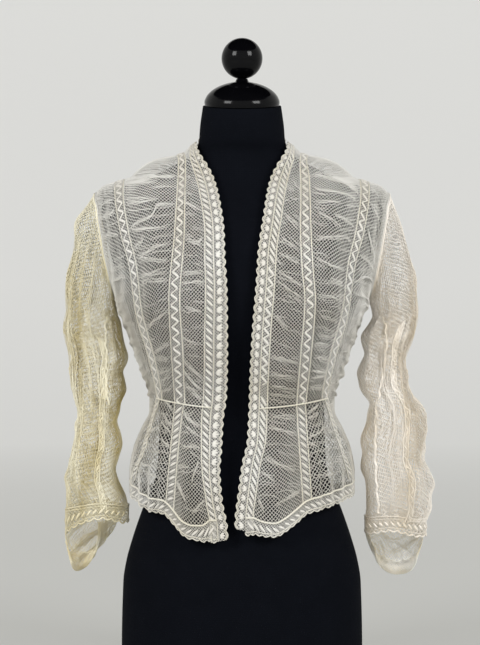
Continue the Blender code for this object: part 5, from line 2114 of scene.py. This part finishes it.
@dataclass
class Back:
    """Plain back of the cardigan: panel, gathered peplum, hem band and neck edging."""

    wardrobe: Wardrobe
    wave_count: int = 7
    wave_height: float = 8.0
    neck_start: float = 0.12
    neck_rise: float = 6.0
    neck_gap: float = 0.9
    neck_levels: tuple[float, ...] = (0.0, 3.5, 7.0)
    neck_points: int = 160
    scallop_pitch: float = 12.0
    panel_columns: int = 200
    peplum_columns: int = 260

    def build(self) -> None:
        """Make every piece of the back."""
        self._panel()
        self._peplum()
        self._neck()

    def _panel(self) -> None:
        """Net panel up to the shoulder ridge, with a gathered cord along the ridge."""
        shares = np.linspace(-1, 1, self.panel_columns)
        waist = float(waist_height(WAIST_HALF_WIDTH))
        tip = float(side_limit(np.array(SHOULDER_TIP_Z)))
        top = RIDGE.at("z", np.maximum(np.abs(shares) * tip, NECK_HALF_WIDTH), key="half_width")
        rise = 1 - (1 - spaced(BODICE_ROWS)[:, None]) ** RIDGE_CROWDING
        z = waist + (np.minimum(top, NECK_TOP_Z) - waist) * rise
        turn = np.maximum(turn_of(side_limit(z) * np.abs(shares), z), BACK_SEAM_TURN)
        grid = worn_point(np.sign(shares), turn, z, back=True)
        cloth = FoldedCloth(grid, axis_of(grid), BACK_FOLDS, grid[..., 2], sway=PANEL_SWAY)
        patch = cloth.patch()
        shape = Shape()
        BACK_NET.weave(shape, NET_SLOT, patch, 61)
        cloth.bunch(shape, CORD_SLOT)
        SEAM_CORD.lay(shape, CORD_SLOT, patch, spaced(260), 0.999, 0.8)
        enter_cloth(shape, "back_panel", [self.wardrobe.net] * 2, Slot.NET, patch)

    def _peplum(self) -> None:
        """Gathered net below the waist and its hem band."""
        shares = np.linspace(-1, 1, self.peplum_columns)
        turn = np.maximum(np.pi / 2 * (1 - np.abs(shares)), BACK_SEAM_TURN)
        hem = HEM_BACK.at("z", np.abs(shares) * HEM_BACK.columns["offset"][-1])
        waist = float(waist_height(WAIST_HALF_WIDTH))
        z = hem + (waist - hem) * spaced(PEPLUM_ROWS)[:, None]
        grid = worn_point(np.sign(shares), np.broadcast_to(turn, z.shape), z, back=True)
        height = waves(grid, self.wave_count, self.wave_height)
        grid = grid + Patch(grid, axis_of(grid), even=False).normal * height[..., None]
        patch = Patch(grid, axis_of(grid))
        shape = Shape()
        BACK_NET.weave(shape, NET_SLOT, patch, 62)
        SEAM_CORD.lay(shape, CORD_SLOT, patch, spaced(SEAM_POINTS), 0.995, 0.6)
        enter_cloth(shape, "back_peplum", [self.wardrobe.net] * 2, Slot.NET, patch)
        hem_work("hem_band_back", grid[0], self.wardrobe, 63, 0.0)

    def _neck(self) -> None:
        """Scalloped edging round the back of the neck."""
        angle = np.linspace(self.neck_start, np.pi - self.neck_start, self.neck_points)
        low = np.full(len(angle), NECK_TOP_Z)
        sign = np.where(angle < np.pi / 2, 1.0, -1.0)
        base = worn_point(sign, np.minimum(angle, np.pi - angle), low, back=True)
        levels = [form_point(angle, low + self.neck_rise + extra) for extra in self.neck_levels]
        rest = np.stack(levels)
        rest = rest + unit(rest - axis_of(rest)) * self.neck_gap
        grid = np.concatenate([base[None], rest])[::-1].swapaxes(0, 1)
        work = LaceWork.worn(grid, 64)
        edge = work.scallop(self.scallop_pitch, SCALLOP_DEPTH)
        work.ground(edge)
        work.line(BORDER_CORD, low_edge=edge)
        work.shells(self.scallop_pitch, root=0.75, tip=0.25)
        work.enter("back_neck_edging", self.wardrobe.lace, "draped", ["form"])


CAP = Table("height radius", (0, 44), (0.6, 48.2), (5, 48.8), (12, 46.4), (19, 40.5), (25, 31), (29, 20),
            (31.5, 9), (35, 7.2))


@dataclass
class DressForm:
    """Limbless dress form: padded jersey body, lacquered neck cap and ball."""

    wardrobe: Wardrobe
    rows: int = 110
    segments: int = 108
    ball_radius: float = 26.6
    ball_foot: float = 0.16
    seat_gap: float = 0.3
    lip_rings: int = 6
    cap_rings: int = 36
    ball_rings: int = 44

    def build(self) -> None:
        """Make the body, the cap and the ball."""
        turn = 2 * np.pi * np.arange(self.segments) / self.segments
        z = np.linspace(0, FORM_TOP_Z, self.rows)[:, None]
        self._turned("form_body", form_point(turn[None, :], z), self.wardrobe.jersey, Slot.JERSEY)
        middle = float(FORM.columns["middle"][-1])
        full = float(CAP.columns["height"][-1])
        height = np.concatenate([spaced(self.lip_rings)[:-1], np.linspace(1, full, self.cap_rings)])[:, None]
        radius = CAP.at("radius", height)
        x = radius * np.cos(turn)
        y = middle + radius * np.sin(turn)
        seat = FORM_TOP_Z + self.seat_gap + NECK_TILT * (1 - height / full) * y
        cap = points_of(x, y, seat + NECK_TILT * height / full * middle + height)
        self._turned("neck_cap", cap, self.wardrobe.lacquer, Slot.LACQUER)
        polar = np.linspace(self.ball_foot, np.pi - 0.02, self.ball_rings)[:, None]
        bottom = cap[-1, 0, 2] + self.seat_gap
        reach = self.ball_radius * np.sin(polar)
        ball_z = bottom + self.ball_radius * (math.cos(self.ball_foot) - np.cos(polar))
        ball = points_of(reach * np.cos(turn), middle + reach * np.sin(turn), ball_z)
        self._turned("finial_ball", ball, self.wardrobe.lacquer, Slot.LACQUER)

    def _turned(self, node: str, rings: Array, finish: Material, slot: Slot) -> None:
        """Enter a closed solid through rings in place of a CAD node."""
        enter(ringed(rings, solid=True).to_object(f"{node}_skin", [finish]), slot, node)


@dataclass
class Studio:
    """Pale seamless backdrop, two soft lights and the camera."""

    floor_rings: tuple[float, ...] = (0.01, 1.0, 3.0)
    floor_radius: float = 5.0
    wall_radius: float = 7.0
    wall_height: float = 6.0
    segments: int = 96
    bend_rings: int = 24
    camera_height: float = 0.458
    camera_distance: float = 2.6
    camera_side: float = -0.0026
    lens: float = 111.6
    sensor: float = 36.0
    sight: float = 60.0
    key_power: float = 54.0
    light_side: float = 2.0
    light_height: float = 1.9
    light_size: float = 1.1
    aim_height: float = 0.45

    def build(self) -> None:
        """Make the backdrop, lights and camera."""
        self._backdrop()
        for side in Side:
            self._light(f"softbox_{side.value}", side.sign * self.light_side)
        self._camera()
        bpy.context.scene.view_settings.view_transform = "Standard"

    def _backdrop(self) -> None:
        """Floor that curves up into a round wall: a quarter circle joins the two."""
        corner = self.wall_radius - self.floor_radius
        bend = np.linspace(0, np.pi / 2, self.bend_rings)
        curve = self.floor_radius + corner * np.sin(bend)
        reach = np.concatenate([self.floor_rings, curve, [self.wall_radius]])
        level = np.zeros(len(self.floor_rings))
        height = np.concatenate([level, corner * (1 - np.cos(bend)), [self.wall_height]])
        turn = 2 * np.pi * np.arange(self.segments) / self.segments
        reach, height = reach[:, None], height[:, None]
        rings = points_of(reach * np.cos(turn), reach * np.sin(turn), height) / MM
        ringed(rings, solid=False).to_object("backdrop", [PaperFinish().make()])

    def _light(self, name: str, x: float) -> None:
        """A square softbox in front of the object, aimed at its middle.

        Args:
            name: Name of the light.
            x: How far it stands to the side, metres.
        """
        place = (x, -self.light_side, self.light_height)
        lamp = bpy.data.lights.new(name, "AREA")
        lamp.energy = self.key_power
        lamp.size = self.light_size
        stand = bpy.data.objects.new(name, lamp)
        stand.location = place
        aim = self.aim_height * UP - np.array(place)
        level = math.hypot(aim[0], aim[1])
        stand.rotation_euler = (math.atan2(level, -aim[2]), 0.0, math.atan2(aim[1], aim[0]) - math.pi / 2)
        bpy.context.scene.collection.objects.link(stand)

    def _camera(self) -> None:
        """Level camera in front of the object."""
        eye = bpy.data.cameras.new("camera")
        eye.lens = self.lens
        eye.sensor_width = self.sensor
        eye.clip_end = self.sight
        stand = bpy.data.objects.new("camera", eye)
        stand.location = (self.camera_side, -self.camera_distance, self.camera_height)
        stand.rotation_euler = (math.pi / 2, 0.0, 0.0)
        bpy.context.scene.collection.objects.link(stand)
        bpy.context.scene.camera = stand


def main() -> None:
    """Load the frame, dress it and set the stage."""
    logging.basicConfig(level=logging.INFO, format="%(message)s")
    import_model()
    wardrobe = Wardrobe.make()
    DressForm(wardrobe).build()
    for side in Side:
        Front(side, wardrobe).build()
        Sleeve(side, wardrobe).build()
    Back(wardrobe).build()
    Studio().build()


if __name__ == "__main__":
    main()
